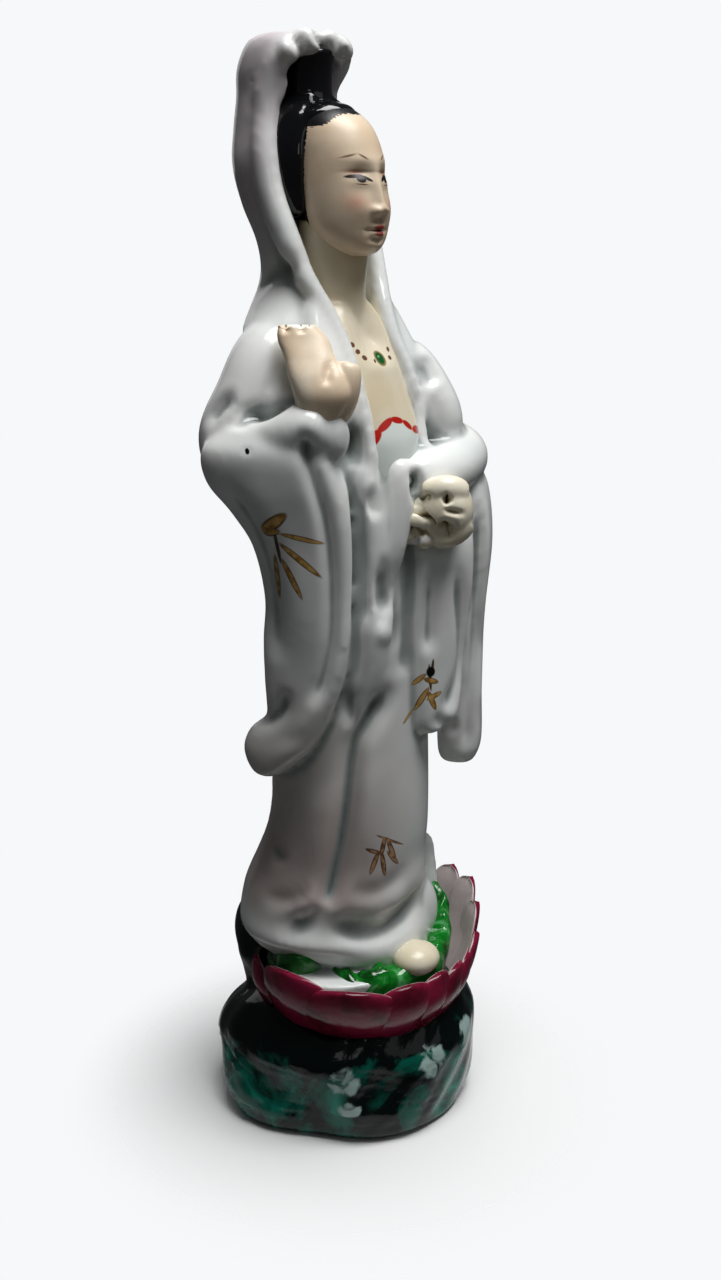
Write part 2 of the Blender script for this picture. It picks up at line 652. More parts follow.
hem = [
    drape([
        [6, 29, -11, 25, 11, 3.6], [18, 30.8, -8, 25, 12, 3.4], [23, 30.2, -7, 24, 11, 3],
        [27, 26, -5, 21, 8, 2],
    ]),
    lump([15.5, -12.5, 6], [8, 7, 12]),
    stack([[-12, 3, -2, 20, 19], [-6, 3, -2.1, 25, 24.4], [-2.4, 3, -2.1, 26.6, 26], [-1.5, 3, -2.1, 25.6, 25],
           [-1.3, 3, -2.1, 16, 16]], 120, 40, bare_clay),
]
sash = [
    limb([[-8.6, -15, 148, 3, 3], [-11.6, -16.8, 136, 3.2, 3.2], [-11.8, -17.8, 122, 2.8, 3],
          [-12.4, -18, 108, 2.6, 3], [-11.4, -18.4, 95, 3, 3], [-12.6, -16.2, 77, 2.4, 2.2]], across=SIDEWAYS),
    limb([[-7, -15.5, 144, 3.4, 3], [-7.6, -17.8, 130, 4, 3], [-7.6, -18.6, 118, 4.4, 2.8],
          [-6.6, -19, 107, 4, 2.6], [-8.8, -19, 95, 4, 3], [-9.4, -16.8, 76, 3, 2.4]], across=SIDEWAYS),
    lump([-8.6, -20, 99.5], [4.2, 3, 4]),
    limb([[-4.2, -19.6, 117, 1.6, 1.8], [-5.4, -20.2, 108, 1.8, 2.2], [-7.6, -20.6, 100, 2.4, 2.6]],
         across=SIDEWAYS),
]
print("hem, bowl and sash:", len(hem) + len(sash), "forms")

# %% [markdown]
# ### Fold lines of the hood and the right sleeve
# The folds are drawn one by one, as on the real figure. Each is a row of (width, height, line), above 0 for a
# ridge and below 0 for a crease, in figure units. The brim of the hood is pinched into four lobes.

# %% Fold lines of the hood
HOOD_FOLDS = [
    (2.9, 1.7, [[-11.8, 8.6, 242.6], [-11.4, 9.6, 247.6], [-10.6, 14, 249]]),
    (2.6, 2.1, [[-5.2, 5.6, 245.4], [-5.2, 7, 250], [-5.2, 14, 250.6]]),
    (2.6, 2.1, [[1.6, 5, 245.4], [1.6, 6.4, 250], [1.6, 13, 250.6]]),
    (2.4, 1.7, [[7.8, 6, 244.6], [7.8, 7.4, 249], [7.8, 13, 249.6]]),
    (1.5, -2.2, [[-8.4, 7, 243.6], [-8.4, 8.4, 249], [-8.4, 15, 250.4]]),
    (1.5, -2.2, [[-1.8, 5, 243.6], [-1.8, 6.6, 249.4], [-1.8, 14, 250.8]]),
    (1.4, -1.6, [[4.8, 5.4, 244], [4.8, 7, 249], [4.8, 13, 250.4]]),
    (1.7, 1.4, [[-11.4, 10.6, 242.4], [-10.4, 10.8, 238], [-11.8, 11.4, 233.4]]),
    (4.2, -0.6, [[-(x + 2.6), y + 7, z] for x, y, z in RIM[3:10]]),
    (4.2, -0.6, [[x + 2.6, y + 7, z] for x, y, z in RIM[5:10]]),
    (3.1, -1.2, [[-12.4, 0, 198], [-14, 4, 195], [-15.6, 11, 192.7], [-16.6, 15.6, 189.3], [-13, 22, 187]]),
    (3.1, -0.9, [[13, 4, 197], [15.6, 11, 192.7], [16.6, 15.6, 189.3], [13, 22, 187]]),
]
print("hood:", len(HOOD_FOLDS), "fold lines")

# %% Fold lines of the right sleeve
RIGHT_SLEEVE_FOLDS = [
    (2.3, -2.2, [[-30, -11.3, 164], [-27.6, -4.7, 161.5], [-30.1, -2.5, 159.8], [-32.7, -0.4, 158.6],
                 [-35.3, 2.7, 158.6], [-37.3, 7.2, 159.9]]),
    (2.3, -1.8, [[-38.4, 14.9, 153.2], [-37.7, 12.4, 157.7], [-37.2, 8.3, 161.3], [-35.1, 5, 162.7]]),
    (2.1, -2.1, [[-28.6, -9.8, 156.2], [-30.4, -14.2, 149.3], [-29.1, -16.3, 140.5], [-27.1, -17.2, 132.7],
                 [-25.6, -17.6, 122], [-25.1, -17.7, 111.3], [-25.4, -17.3, 100.5], [-26.8, -15.3, 89.5],
                 [-28.5, -12.1, 80.8]]),
    (3.0, 0.8, [[-18.3, -13.4, 149.1], [-21.1, -18, 139.7], [-21.8, -19.3, 129.5], [-21.9, -19.4, 113.7],
                [-23.1, -19, 101.7], [-24.7, -17.6, 92.2], [-26.7, -15.1, 83.8], [-28.8, -10.9, 75.8],
                [-31.3, -5.7, 69.2]]),
    (3.4, -2.1, [[-43.1, 6.5, 142.7], [-40.2, 3.5, 136.5], [-36.5, 0.9, 129], [-33.9, -0.7, 120.8],
                 [-32.4, -1.9, 110], [-31.7, -2.1, 99], [-31, -2.4, 91.1]]),
    (4.5, 0.8, [[-40.2, -2.3, 145.4], [-36.2, -5.6, 135], [-31.7, -8.7, 121.7], [-29.8, -10.3, 105.6],
                [-30.1, -8.9, 91.7]]),
    (2.4, -1.8, [[-30.6, -4.9, 87.6], [-30.8, -4.7, 82.5], [-31.5, -2.7, 78.3], [-32.3, 2, 75.1],
                 [-33.2, 5.1, 71.1]]),
    (2.8, 0.7, [[-33.1, -0.5, 63.5], [-30, -7.8, 68.8], [-27.5, -12.9, 76.8], [-25.3, -16.7, 86.9],
                [-23.6, -18.7, 97.4]]),
    (2.6, -2.4, [[-15.6, -15.5, 157], [-15.8, -16.2, 150], [-16.2, -16.5, 144]]),
    (1.0, -0.8, [[-39.6, -1.8, 150.6], [-39.5, -2, 149.6]]),
]
print("right sleeve:", len(RIGHT_SLEEVE_FOLDS), "fold lines")

# %% [markdown]
# ### Fold lines of the skirt
# One long groove runs from the sash down to the hem and turns there to the right, and the cloth breaks in two
# shallow arcs above the foot.

# %% Fold lines of the skirt
MAIN_GROOVE = [
    [-4.4, -20.6, 86], [-7, -18.8, 78.6], [-10.2, -17.3, 73.6], [-12.7, -14.7, 67.2], [-15.8, -15.4, 59.2],
    [-16.8, -14, 45.1], [-18.6, -11.9, 30.8], [-20.9, -10.5, 21.6], [-24.9, -9.2, 17.7],
    [-29.5, -5, 14.6], [-30.9, 0.9, 11.9],
]
SKIRT_FOLDS = [
    (3.2, -3.8, MAIN_GROOVE[:9]), (3.6, -1.8, MAIN_GROOVE[6:]),
    (2.2, -2.2, [[-16.4, -16.4, 88], [-15.5, -15.1, 79.9], [-13.5, -14.4, 73.8], [-12.7, -14.7, 67.2]]),
    (4.5, 0.9, [[-16, -16, 60], [-21.5, -9.5, 50], [-22.5, -8, 40], [-24.5, -5, 28]]),
    (4.5, 0.7, [[-9, -20, 66], [-12, -18.5, 55], [-13.4, -18, 42], [-15, -17.5, 30]]),
    (2.6, -1.2, [[-24.2, 9.1, 33], [-25.4, 4.6, 33.2], [-26.5, -0.3, 30.5]]),
    (2.8, -1.2, [[-28.8, 8, 21.2], [-29.6, 0.7, 21.4], [-27.6, -7.2, 24.2], [-22.4, -9.2, 26.7]]),
    (3.4, -1.7, [[-21, -10.5, 21], [-20.8, -16.1, 15.5], [-15.8, -19.1, 11.4], [-9.8, -21.4, 11.1],
                 [-2.6, -22.8, 13.9], [4.5, -21.7, 16.3], [9.5, -20.3, 18.1]]),
    (3.2, -1.2, [[-18.6, -14.5, 27.1], [-15.7, -19, 24.7], [-9.8, -21.4, 23.9], [-2.6, -21.9, 25.9],
                 [2, -21.8, 29.2]]),
    (3.9, 0.8, [[-17, -18, 19.5], [-11, -21, 17.5], [-4, -22.5, 19.6], [2, -22, 22.5]]),
    (2.2, -1.0, [[7.8, -20.2, 19], [4, -21.6, 17], [0.3, -22.6, 15.9]]),
    (4.8, 0.7, [[-29, -4, 19], [-27, -9, 22], [-25, -5, 27]]),
]
print("skirt:", len(SKIRT_FOLDS), "fold lines")

# %% [markdown]
# ### Fold lines of the waist and the left sleeve
# The sash pulls the cloth into upright creases, and the sleeve in front of it falls in three broad ones.

# %% Fold lines of the waist and the left sleeve
WAIST_FOLDS = [
    (2.4, -1.8, [[-12, -19.2, 140], [-12.2, -19.8, 135], [-10.6, -20.2, 130]]),
    (2.8, -2.2, [[-8.6, -19.8, 121], [-7.8, -20.2, 114], [-7, -20.2, 108], [-6.8, -20, 103]]),
    (2.0, -1.7, [[-13.5, -16.7, 141.1], [-14.6, -19, 120.3], [-14.6, -19.9, 100]]),
    (2.6, -1.3, [[-2.9, -19.9, 122.5], [-3.4, -21.1, 106], [-3, -21, 90]]),
    (2.6, -1.4, [[2.2, -19.9, 121.6], [-0.6, -21.4, 98.3], [-1, -21.7, 84.8]]),
    (2.4, 0.5, [[-0.4, -21, 118], [-2, -21.4, 100], [-2.2, -21.4, 88]]),
    (2.4, -2.0, [[7.2, -24.9, 120], [6.4, -24.8, 100.9], [6, -24.8, 90]]),
    (2.5, -2.0, [[15.9, -26.4, 117.4], [19.1, -26.5, 86.9], [10.7, -26.6, 71.5]]),
    (2.5, -2.0, [[29.4, -23.7, 131.1], [29, -23.8, 99.9], [27.9, -23.5, 78.2], [27.1, -22.2, 53.1]]),
    (3.0, 0.5, [[23, -25, 130], [23.6, -25.4, 100], [23, -25.4, 72]]),
    (3.0, 0.5, [[36.4, -20.4, 132], [36.2, -20.4, 95], [35.4, -20.4, 62]]),
    (2.1, -1.4, [[6.3, -25.5, 73.4], [14, -25.5, 68], [26.5, -20, 61]]),
    (3.2, -1.8, seen([[20, -6, 171], [22.6, -7, 166], [25.4, -8, 161]])),
    (2.8, -0.8, [[9.2, -14.4, 164], [14, -13.6, 155], [18.9, -13.5, 147.6]]),
    (2.8, -0.7, [[27.5, -7.7, 162.1], [21, -15, 153], [13.7, -20, 145.1]]),
    (1.3, -4.5, seen([[17.8, 15, 144], [18.4, 15, 139], [18.2, 15, 133.5]])),
]
print("waist and left sleeve:", len(WAIST_FOLDS), "fold lines")

# %% [markdown]
# ### The back, and the robe as one skin
# Nobody looks at the back of such a figure, so its maker pressed in only a few long creases, each leaning a
# little. Then all forms become one skin, fine enough to hold a fold and coarse enough to look glazed over.

# %% Creases of the back
BACK_WIDTH, BACK_DEPTH = 4.2, -2


def back_fold(degrees, low, high, lean):
    """A crease down the back: it follows the robe's ovals at an angle that leans with the height."""
    z = np.linspace(low, high, 7)
    cx, cy, a, b = keyed(ROBE_ROWS, z).T
    angle = np.radians(degrees + lean * (z - low) / (high - low))
    return np.stack([cx + a * np.cos(angle), cy + b * np.sin(angle), z], axis=-1).tolist()


BACK_FOLDS = [(BACK_WIDTH, BACK_DEPTH, back_fold(*row)) for row in [
    (20, 12, 128, 25), (48, 6, 105, 22), (75, 10, 135, 18), (104, 8, 90, 14), (132, 10, 120, 10)]]
print("back:", len(BACK_FOLDS), "fold lines")

# %% The robe as one skin
ROBE_VOXEL = 1.05
robe = mesh_object("robe", on_the_seat(body, *veil, inner_dress, *arms, *sleeves, *hem, *sash))
set_points(hood, to_mm(points_of(hood)))
with bpy.context.temp_override(active_object=robe, selected_editable_objects=[robe, hood]):
    bpy.ops.object.join()
finish_skin(robe, ROBE_VOXEL, 8, HOOD_FOLDS + RIGHT_SLEEVE_FOLDS + SKIRT_FOLDS + WAIST_FOLDS + BACK_FOLDS,
            rounds_after=4, blur=50)

# %% [markdown]
# ## Neck and chest
# Between the lapels the maker left the clay bare of glaze, as biscuit, and tinted it like skin. A hollow
# between the collarbones joins the neck to the chest.

# %% Neck and chest
def throat(angle, z):
    """The hollow between the collarbones: -4.2 * smoothstep(168, 177, z) * a bump round the front."""
    return -4.2 * smoothstep(168, 177, z) * towards(angle, -np.pi / 2, 0.24)


chest = mesh_object("chest", on_the_seat(
    stack([
        [138, 0.6, -8.6, 12, 12.4], [149, 1.2, -7.5, 14, 12.2], [154, 1.4, -6.5, 14.4, 11.8],
        [165, 0.8, -4.2, 13.2, 10.4], [171, 0.4, -3, 12, 9.6], [178, 0, -1.4, 10.8, 8.2],
        [182, 0, -0.2, 9.6, 7], [185, 0, 0.8, 8, 5.6],
    ], relief=throat),
    stack([
        [172, 0, 2, 9.4, 8], [178, 0, 3, 8.6, 7.8], [184, 0, 3.8, 8.2, 7.8], [190, 0, 4.2, 8.5, 8.2],
        [198, 0, 4.4, 9.2, 9], [206, 0, 4.4, 9.4, 9.4],
    ]),
))
wrap(chest, 0.6, 24, back=0.45)
print("chest:", 2 * len(chest.data.polygons), "triangles")

# %% [markdown]
# ## The head
# The face is a design of its own on plain proportions: eyes halfway up the head, brow, nose and chin at
# equal thirds. Each feature is a soft bump pushed forward or back from a smooth egg. The eyes, brows and
# lips are painted, as on the real figure, so they belong to the material.

# %% Features of the face
EYE_Z, NOSE_Z, MOUTH_Z, CHIN_Z = 215.6, 208.6, 203.4, 198.8
EYE_X = 4.4
# Rows of [x, z, half width, half height, how far forward], mirrored where x isn't 0.
FEATURES = [
    [EYE_X, 216.6, 3.4, 2.1, -1.1], [EYE_X, EYE_Z, 2.9, 1.7, 1.1], [EYE_X, EYE_Z + 1.9, 3, 0.45, -0.3],
    [EYE_X, 220.6, 3.8, 1.5, 0.25], [2, NOSE_Z - 0.5, 1.1, 1.1, 0.9], [0, 205.9, 0.8, 0.9, -0.3],
    [0, MOUTH_Z + 0.8, 2.4, 0.7, 1.15], [0.9, MOUTH_Z + 1.2, 0.8, 0.5, 0.25], [0, MOUTH_Z - 1, 2, 0.85, 1.25],
    [0, MOUTH_Z - 0.05, 2.8, 0.28, -0.6], [3.2, MOUTH_Z, 1, 1.1, -0.5], [0, 201, 2.4, 0.75, -0.6],
    [0, CHIN_Z + 0.4, 2.8, 1.8, 1.1], [5.6, 208.6, 3.6, 3.8, 0.9],
]
# Rows of [height, how far forward, half width] down the ridge of the nose.
NOSE_ROWS = [[205.2, 0, 2], [206.8, 1.4, 2.3], [NOSE_Z, 2.5, 2.2], [210.4, 2, 1.9], [214, 1.3, 1.8],
             [217.6, 0.7, 2], [221, 0.2, 2.6], [224, 0, 3]]


def face_relief(x, z):
    """How far the face stands forward: soft bumps, height * e^(-u^2 - v^2), and the ridge of the nose."""
    nose, half = keyed(NOSE_ROWS, z).T
    out = nose * bump(x, half)
    for fx, fz, a, b, height in FEATURES:
        for side in ([1, -1] if fx else [1]):
            out += height * bump(x - side * fx, a) * bump(z - fz, b)
    return out


print("the face has", len(FEATURES), "features")

# %% The egg of the head
HEAD_ROWS = [
    [197, 0, -4.6, 2.8, 2.4], [198.2, 0, -3.9, 5.6, 5], [200.5, 0, -2.4, 8.4, 8], [204, 0, -0.8, 10.4, 10.1],
    [209, 0, 0.9, 11.4, 11.8], [215, 0, 2.3, 11.7, 12.6], [221, 0, 3.2, 11.3, 12.8], [226, 0, 4.2, 10.6, 12],
    [230, 0, 5.2, 9.2, 10.3], [233, 0, 6.4, 6.6, 7.4], [234.2, 0, 7, 4, 4.6],
]
points, quads, fans = stack(HEAD_ROWS, 300, 190)
front = smoothstep(-1, -5, points[:, 1])
points[:, 1] -= face_relief(points[:, 0], points[:, 2]) * front
head = mesh_object("head", on_the_seat((points, quads, fans)))
print("head:", len(points), "points")

# %% [markdown]
# ## Hair
# The hair is drawn up under the hood into a tall knot, and a lock falls in front of the ear. It is one smooth
# mass under black glaze, whose edge on the forehead was painted with small brush strokes.

# %% Hair, topknot and side locks
def side_lock(side):
    """A flat lock of hair before the ear; side is -1 for the figure's right and 1 for its left."""
    return drape([[z, side * fx, fy, side * bx, by, w] for z, fx, fy, bx, by, w in [
        [206.8, 10.8, 6.6, 12, 9, 1.1], [207.6, 10.6, 5, 12.8, 10, 1.8], [210, 10.9, 4.2, 13.6, 11, 2.1],
        [214, 11.4, 4.2, 14.6, 12, 2], [221, 11.4, 4.2, 14.8, 13, 2], [226, 10.2, 4.6, 14, 13.6, 2],
        [231, 7.6, 5.4, 12, 13.8, 2], [235, 4.4, 6.6, 9, 13.8, 1.8], [237.5, 2.4, 9, 5.4, 13, 1.2],
    ]], 48, 60)


hair = mesh_object("hair", on_the_seat(
    side_lock(-1), side_lock(1),
    stack([
        [206, 0, 12.6, 9.6, 4.6], [209, 0, 12.4, 12.6, 6], [216, 0, 12, 13.8, 7.4], [223, 0, 10.8, 13, 8.6],
        [228, 0, 9.8, 11.4, 9.2], [232, 0, 8.8, 9.4, 9.6], [234.2, 0, 9, 7, 8.4], [235.2, 0, 9.6, 4.4, 6],
    ]),
    stack([[228, 0, 13, 9, 8], [233, 0, 13.4, 7.4, 7], [237, 0, 13.6, 6.6, 6.5], [243, 0, 13.6, 6.7, 6.6],
           [248, 0, 13.2, 7.2, 7]]),
))
wrap(hair, 0.6, 12)
print("hair:", 2 * len(hair.data.polygons), "triangles")

# %% [markdown]
# ## Hands and foot
# The raised right hand has lost its fingers, so it ends in a flat chipped edge above the palm. The left hand
# is closed round something that is gone, and it is chipped too. Nothing is restored.

# %% The right hand
HAND_VOXEL = 0.4
right_hand = mesh_object("right_hand", on_the_seat(
    drape([
        [150, -22, -12.6, -26, -7.6, 3.4], [156, -20.8, -15, -27.3, -7.7, 4.4],
        [163, -19, -18.6, -28.9, -8.2, 5.4], [168, -18.7, -17.7, -29.2, -6.5, 5],
        [173, -19.6, -13.6, -28.4, -4.1, 4], [177, -19.1, -11, -28.2, -1.9, 3.4],
        [180.4, -20.6, -8, -27.4, -1.2, 2.8],
    ]),
    limb(seen([[-3.4, 24.4, 157, 4, 4], [-1, 25.6, 164, 4.2, 4], [0.8, 25, 171.6, 3.4, 3]]),
         across=ACROSS_THE_VIEW),
))
HAND_MARKS = [
    (1.0, -1.0, seen([[-16, 22, 181.4], [-15.6, 22, 180], [-15, 22, 178]])),
    (1.0, -1.0, seen([[-12, 20, 181.4], [-11.6, 20, 180], [-11, 20, 178]])),
    (1.4, -0.8, seen([[-3.4, 26, 173], [-4.8, 26, 169], [-5.2, 26, 165]])),
]
finish_skin(right_hand, HAND_VOXEL, 20, HAND_MARKS)

# %% The left hand
left_hand = mesh_object("left_hand", on_the_seat(
    lump(as_seen(26.4, 10.6, 131), [7.6, 7.6, 9]), lump(as_seen(20.4, 9.4, 130), [5, 5, 7]),
    limb(seen([[31, 11, 135, 3.6, 4.4], [26.6, 13.6, 137, 3.6, 4], [20, 12.6, 136, 3.2, 3.6]])),
    limb(seen([[32, 11, 129, 3.6, 5], [28, 13, 126, 3.4, 4.4], [23, 12, 123, 3, 3.2]])),
    lump(as_seen(18.4, 12.6, 129), [4.2, 4.2, 3.8]), lump(as_seen(16.8, 12, 124.8), [3.4, 3.4, 2.8]),
    lump(as_seen(20.6, 12.6, 123.4), [3, 3, 2.6]),
))
FIST_MARKS = [
    (1.0, -3, seen([[25, 17, 134.4], [26.2, 18, 135.4], [27.6, 17, 136.4]])),
    (0.8, -1.6, seen([[18.6, 16, 135.2], [20.6, 17, 136], [22.8, 17, 135.6]])),
    (0.8, -1.3, seen([[25, 17, 132.6], [28, 17, 131.8], [32, 16, 131]])),
    (0.8, -1.7, seen([[15.6, 16, 132.2], [19, 17, 132], [22.6, 18, 129], [23.2, 17, 125]])),
    (2.0, -4.4, seen([[23.4, 16, 128.6], [26, 16, 126.6], [29.4, 15, 125.4]])),
    (0.8, -1.7, seen([[14, 16, 127], [17.6, 17, 127], [21, 17, 126.2]])),
    (0.7, -1.2, seen([[18.6, 15, 126], [18.4, 16, 123.6], [18.8, 16, 121]])),
]
finish_skin(left_hand, HAND_VOXEL, 40, FIST_MARKS)
toe = mesh_object("toe", on_the_seat(lump([0.7, -25.8, 0.6], [7.2, 6.6, 4.6])))

# %% [markdown]
# ## The lotus
# Petals stand in a ring round a shallow bowl. They were pressed one by one and luted on, so each is a piece of
# clay of its own: wide at the front, narrower and taller to the figure's left. The ring is a little flatter
# from front to back.

# %% Petals
LOTUS_X, LOTUS_Y = 0.1 * LOTUS_RADIUS, -0.07 * LOTUS_RADIUS
FLATTER = 0.98
PETAL_FOOT = 27
PETAL_WALL = 2.4
# Rows of [direction and half width in degrees, tip height, lean of the tip outward, slip of the tip sideways].
PETALS = [
    [-176, 24, 51, 3, 0], [-145, 27, 48.6, 3.4, 0], [-115, 18, 48, 1.8, 3], [-96, 14, 47.6, 1, 5],
    [-81, 13, 47, 2, 6], [-68, 13, 47.4, 3.2, 6], [-57, 12, 50.4, 4.8, 5], [-42, 12, 55.9, 6, 5],
    [-26, 12, 59.6, 8, 4], [-9, 11, 59.8, 8.4, 2], [9, 12, 56, 7, 0], [28, 12, 51, 5, 0], [47, 12, 48, 4, 0],
    [67, 12, 47, 3, 0], [87, 13, 46.5, 2, 0], [108, 13, 46, 1, 0], [128, 12, 45.5, 1, 0], [148, 12, 46, 1.5, 0],
]


def on_the_lotus(r, angle, z):
    """A skin round the lotus: x = LOTUS_X + r cos(angle), y = LOTUS_Y + FLATTER r sin(angle)."""
    x, y = LOTUS_X + r * np.cos(angle), LOTUS_Y + FLATTER * r * np.sin(angle)
    return tube(np.stack([x, y, z + 0 * angle], axis=-1))


def petal(direction, half, tip, lean, slip):
    """A petal as a tube of flat ovals: the angle is direction + half * w(b) cos u, and the radius is
    r(b) + wall/2 sin u, where b runs from foot to tip and w(b) is round like half an ellipse near the tip."""
    b = np.linspace(0, 1, 48)[:, None]
    u = np.linspace(0, TURN, 64, endpoint=False)[None, :]
    width = np.where(b < 0.6, 1, np.sqrt(np.clip(1 - ((b - 0.6) / 0.4) ** 3, 0.0004, 1)))
    across = np.sign(np.cos(u)) * np.abs(np.cos(u)) ** 0.8
    angle = np.radians(direction + slip * b ** 2 + half * width * across)
    radius = LOTUS_RADIUS * keyed([[0, 0.84], [0.3, 0.97], [0.6, 1.03], [1, 1.0]], b[:, 0])
    radius = radius + lean * b ** 2 + 1.1 * (1 - across ** 2) * b
    wall = 0.5 * PETAL_WALL * (0.35 + 0.65 * width)
    r = radius + wall * np.sin(u)
    form = on_the_lotus(r, angle, PETAL_FOOT + (tip - PETAL_FOOT) * b)
    return form, np.append(np.sin(u + 0 * b).ravel(), [0, 0])


petal_parts = [petal(*row) for row in PETALS]
petals = mesh_object("petals", joined([form for form, _ in petal_parts]))
set_value(petals, "outside", np.concatenate([side for _, side in petal_parts]))
print("petals:", len(petals.data.polygons), "faces")

# %% [markdown]
# A leaf lies in the bowl of petals under the hem. Its edge curls up at the right, it rises with the lotus on
# the left, and it is puckered all over, so it is a disc of rings with waves of several lengths round it.

# %% The bed of leaf
LEAF_ROWS = [[0, -10], [0.6, -10], [0.93, -9], [0.99, -5], [1.01, -1], [1, 0.8], [0.96, 2.3], [0.88, 2.9],
             [0.6, 2.2], [0, 2]]
LEAF_SIZE, LEAF_DROP, LEAF_RISE = 0.97 * LOTUS_RADIUS, 2.6, 11.5
around = np.linspace(0, TURN, 360, endpoint=False)[None, :]
share, level = curve_through(LEAF_ROWS, 72).T[..., None]
share = np.clip(share, 0.01, 1.02)
ripple = 0.02 * np.sin(7 * around) + 0.012 * np.sin(12 * around + 1) + 0.008 * np.sin(23 * around + 2)
curl = towards(around, -3.12, 0.12)
flare = 2.4 * curl - 1.8 * towards(around, -0.8, 0.36) - 4.6 * towards(around, -2.8, 0.15)
puckers = 0.5 * np.sin(17 * around + 9 * share) + 0.35 * np.sin(29 * around - 14 * share)
z = SEAT - LEAF_DROP + level * (1 + 0.2 * np.sin(9 * around + 2))
z = z + LEAF_RISE * towards(around, -0.25, 0.26) * share ** 2
z = z + (puckers + 5 * curl) * smoothstep(0, 1.5, level)
leaf = mesh_object("leaf", on_the_lotus(share * (LEAF_SIZE * (1 + ripple) + flare), around, z))
print("leaf:", len(leaf.data.polygons), "faces")

# %% [markdown]
# ## The rock mound
# The rock is a soft lump of clay with a hump behind the figure's right side. Large waves and a few broad
# knocks give it its sides, and waves of five sizes break its surface up. They fade out at the flat ground.

# %% The rock
def rock(rows, relief):
    """A stack whose rows are shares of the mound's height, width and depth."""
    return stack([[z * MOUND_HEIGHT, cx * MOUND_WIDTH, cy * MOUND_DEPTH,
                   a * MOUND_WIDTH / 2, b * MOUND_DEPTH / 2] for z, cx, cy, a, b in rows], 200, 120, relief)


def lumpy(amount):
    """Large waves round the rock: amount * (cos 2(angle + 0.84) + smaller waves that lean with the height)."""
    def relief(angle, z):
        high = z / MOUND_HEIGHT
        lumps = 0.35 * np.sin(3 * angle + 4 * high) + 0.25 * np.sin(5 * angle - 5 * high)
        return amount * (np.cos(2 * (angle + 0.84)) + lumps)
    return relief


mound = mesh_object("mound", joined([
    rock([
        [0, -0.045, -0.035, 0.8, 0.83], [0.06, -0.045, -0.035, 0.87, 0.9], [0.2, -0.03, -0.02, 0.96, 0.98],
        [0.45, 0, 0, 1.01, 1.03], [0.72, 0.005, -0.01, 1, 1.02], [0.9, 0.02, -0.02, 0.88, 0.89],
        [1, 0.025, -0.02, 0.76, 0.77], [1.1, 0.025, -0.02, 0.58, 0.58],
    ], lumpy(3)),
    rock([
        [0.4, -0.05, 0.24, 0.4, 0.42], [0.9, -0.055, 0.26, 0.42, 0.44], [1.2, -0.06, 0.28, 0.45, 0.46],
        [1.45, -0.06, 0.285, 0.45, 0.46], [1.66, -0.06, 0.27, 0.4, 0.41], [1.8, -0.05, 0.24, 0.28, 0.28],
    ], lumpy(1)),
]))
wrap(mound, 1.0, 10)
print("mound:", len(mound.data.polygons), "faces")

# %% The rock's surface
p, n = points_of(mound), points_of(mound, "normal")
waves = sum(height * np.sin(p @ np.array(way) + phase) for height, way, phase in [
    (0.4, (0.11, 0.07, 0.16), 0), (0.35, (-0.09, 0.14, 0.1), 1.3), (0.2, (0.24, -0.2, 0.13), 2.1),
    (0.14, (0.4, 0.36, -0.44), 0.7), (0.1, (-0.6, 0.5, 0.6), 1.9)])
KNOCKS = [
    (9, 1.2, [[-26, -26, 24], [-27, -25, 6]]), (8, -1.2, [[-16, -32, 26], [-20, -31, 10]]),
    (8, 1.2, [[-6, -36, 24], [-8, -36, 8]]), (9, -1.2, [[-36, -6, 26], [-37, -5, 6]]),
    (10, 1.4, [[-34, 10, 20], [-33, 14, 4]]), (10, -1.4, [[26, 26, 26], [28, 24, 4]]),
    (10, 1.4, [[6, 36, 22], [2, 37, 4]]), (10, -1.4, [[-22, 30, 18], [-26, 28, 2]]),
]
set_points(mound, pressed(p, n, KNOCKS) + n * ((waves - 0.8) * smoothstep(0.5, 5, p[:, 2]))[:, None])
print("waves stand out up to", round(float(waves.max()), 2), "mm")

# %% [markdown]
# ## Materials
# Everything is fired porcelain: a white body, and over it clear or coloured glass. The glaze gives sharp
# highlights over soft colour, and it gathers in the hollows, where it looks cooler and darker. Colours are
# hex codes, as on a paint chart, and the size of a pattern is the size of its marks in millimetres.

# %% Helpers for materials
def linear(code):
    """A hex colour to the linear numbers that the shader works in."""
    values = [int(code[i:i + 2], 16) / 255 for i in (1, 3, 5)]
    return [v / 12.92 if v <= 0.04045 else ((v + 0.055) / 1.055) ** 2.4 for v in values] + [1]


def add(tree, kind, inputs=None, out=0, **settings):
    """Adds a node with its settings, and returns its output out. Each of inputs is a value to set, a hex
    colour or a socket to link."""
    node = tree.nodes.new("ShaderNode" + kind)
    for name, value in settings.items():
        setattr(node, name, value)
    for socket, value in (inputs or {}).items():
        if isinstance(value, bpy.types.NodeSocket):
            tree.links.new(value, node.inputs[socket])
        else:
            node.inputs[socket].default_value = linear(value) if isinstance(value, str) else value
    return node.outputs[out] if node.outputs else node


def new_material(name):
    """An empty material; returns it, its tree and the place of each point, as Object coordinates in metres."""
    material = bpy.data.materials.new(name)
    material.use_nodes = True
    material.node_tree.nodes.clear()
    return material, material.node_tree, add(material.node_tree, "TexCoord", out="Object")


def fired(tree, colour, roughness, ior, height=None, strength=0, relief_mm=0):
    """Ends a material with one principled shader under its colour, and a fine relief where height is given."""
    look = {"Base Color": colour, "Roughness": roughness, "IOR": ior}
    if height is not None:
        look["Normal"] = add(tree, "Bump", {"Strength": strength, "Distance": relief_mm * MM, "Height": height})
    shader = add(tree, "BsdfPrincipled", look)
    add(tree, "OutputMaterial", {"Surface": shader})
    print("this finish has", len(tree.nodes), "nodes")
    return shader


# %% [markdown]
# ### Tints and patterns
# A glaze changes its tone from place to place. One tint is a colour mixed in over another between two values of
# something: of the height, of a cloudy pattern, or of how hollow the place lies.

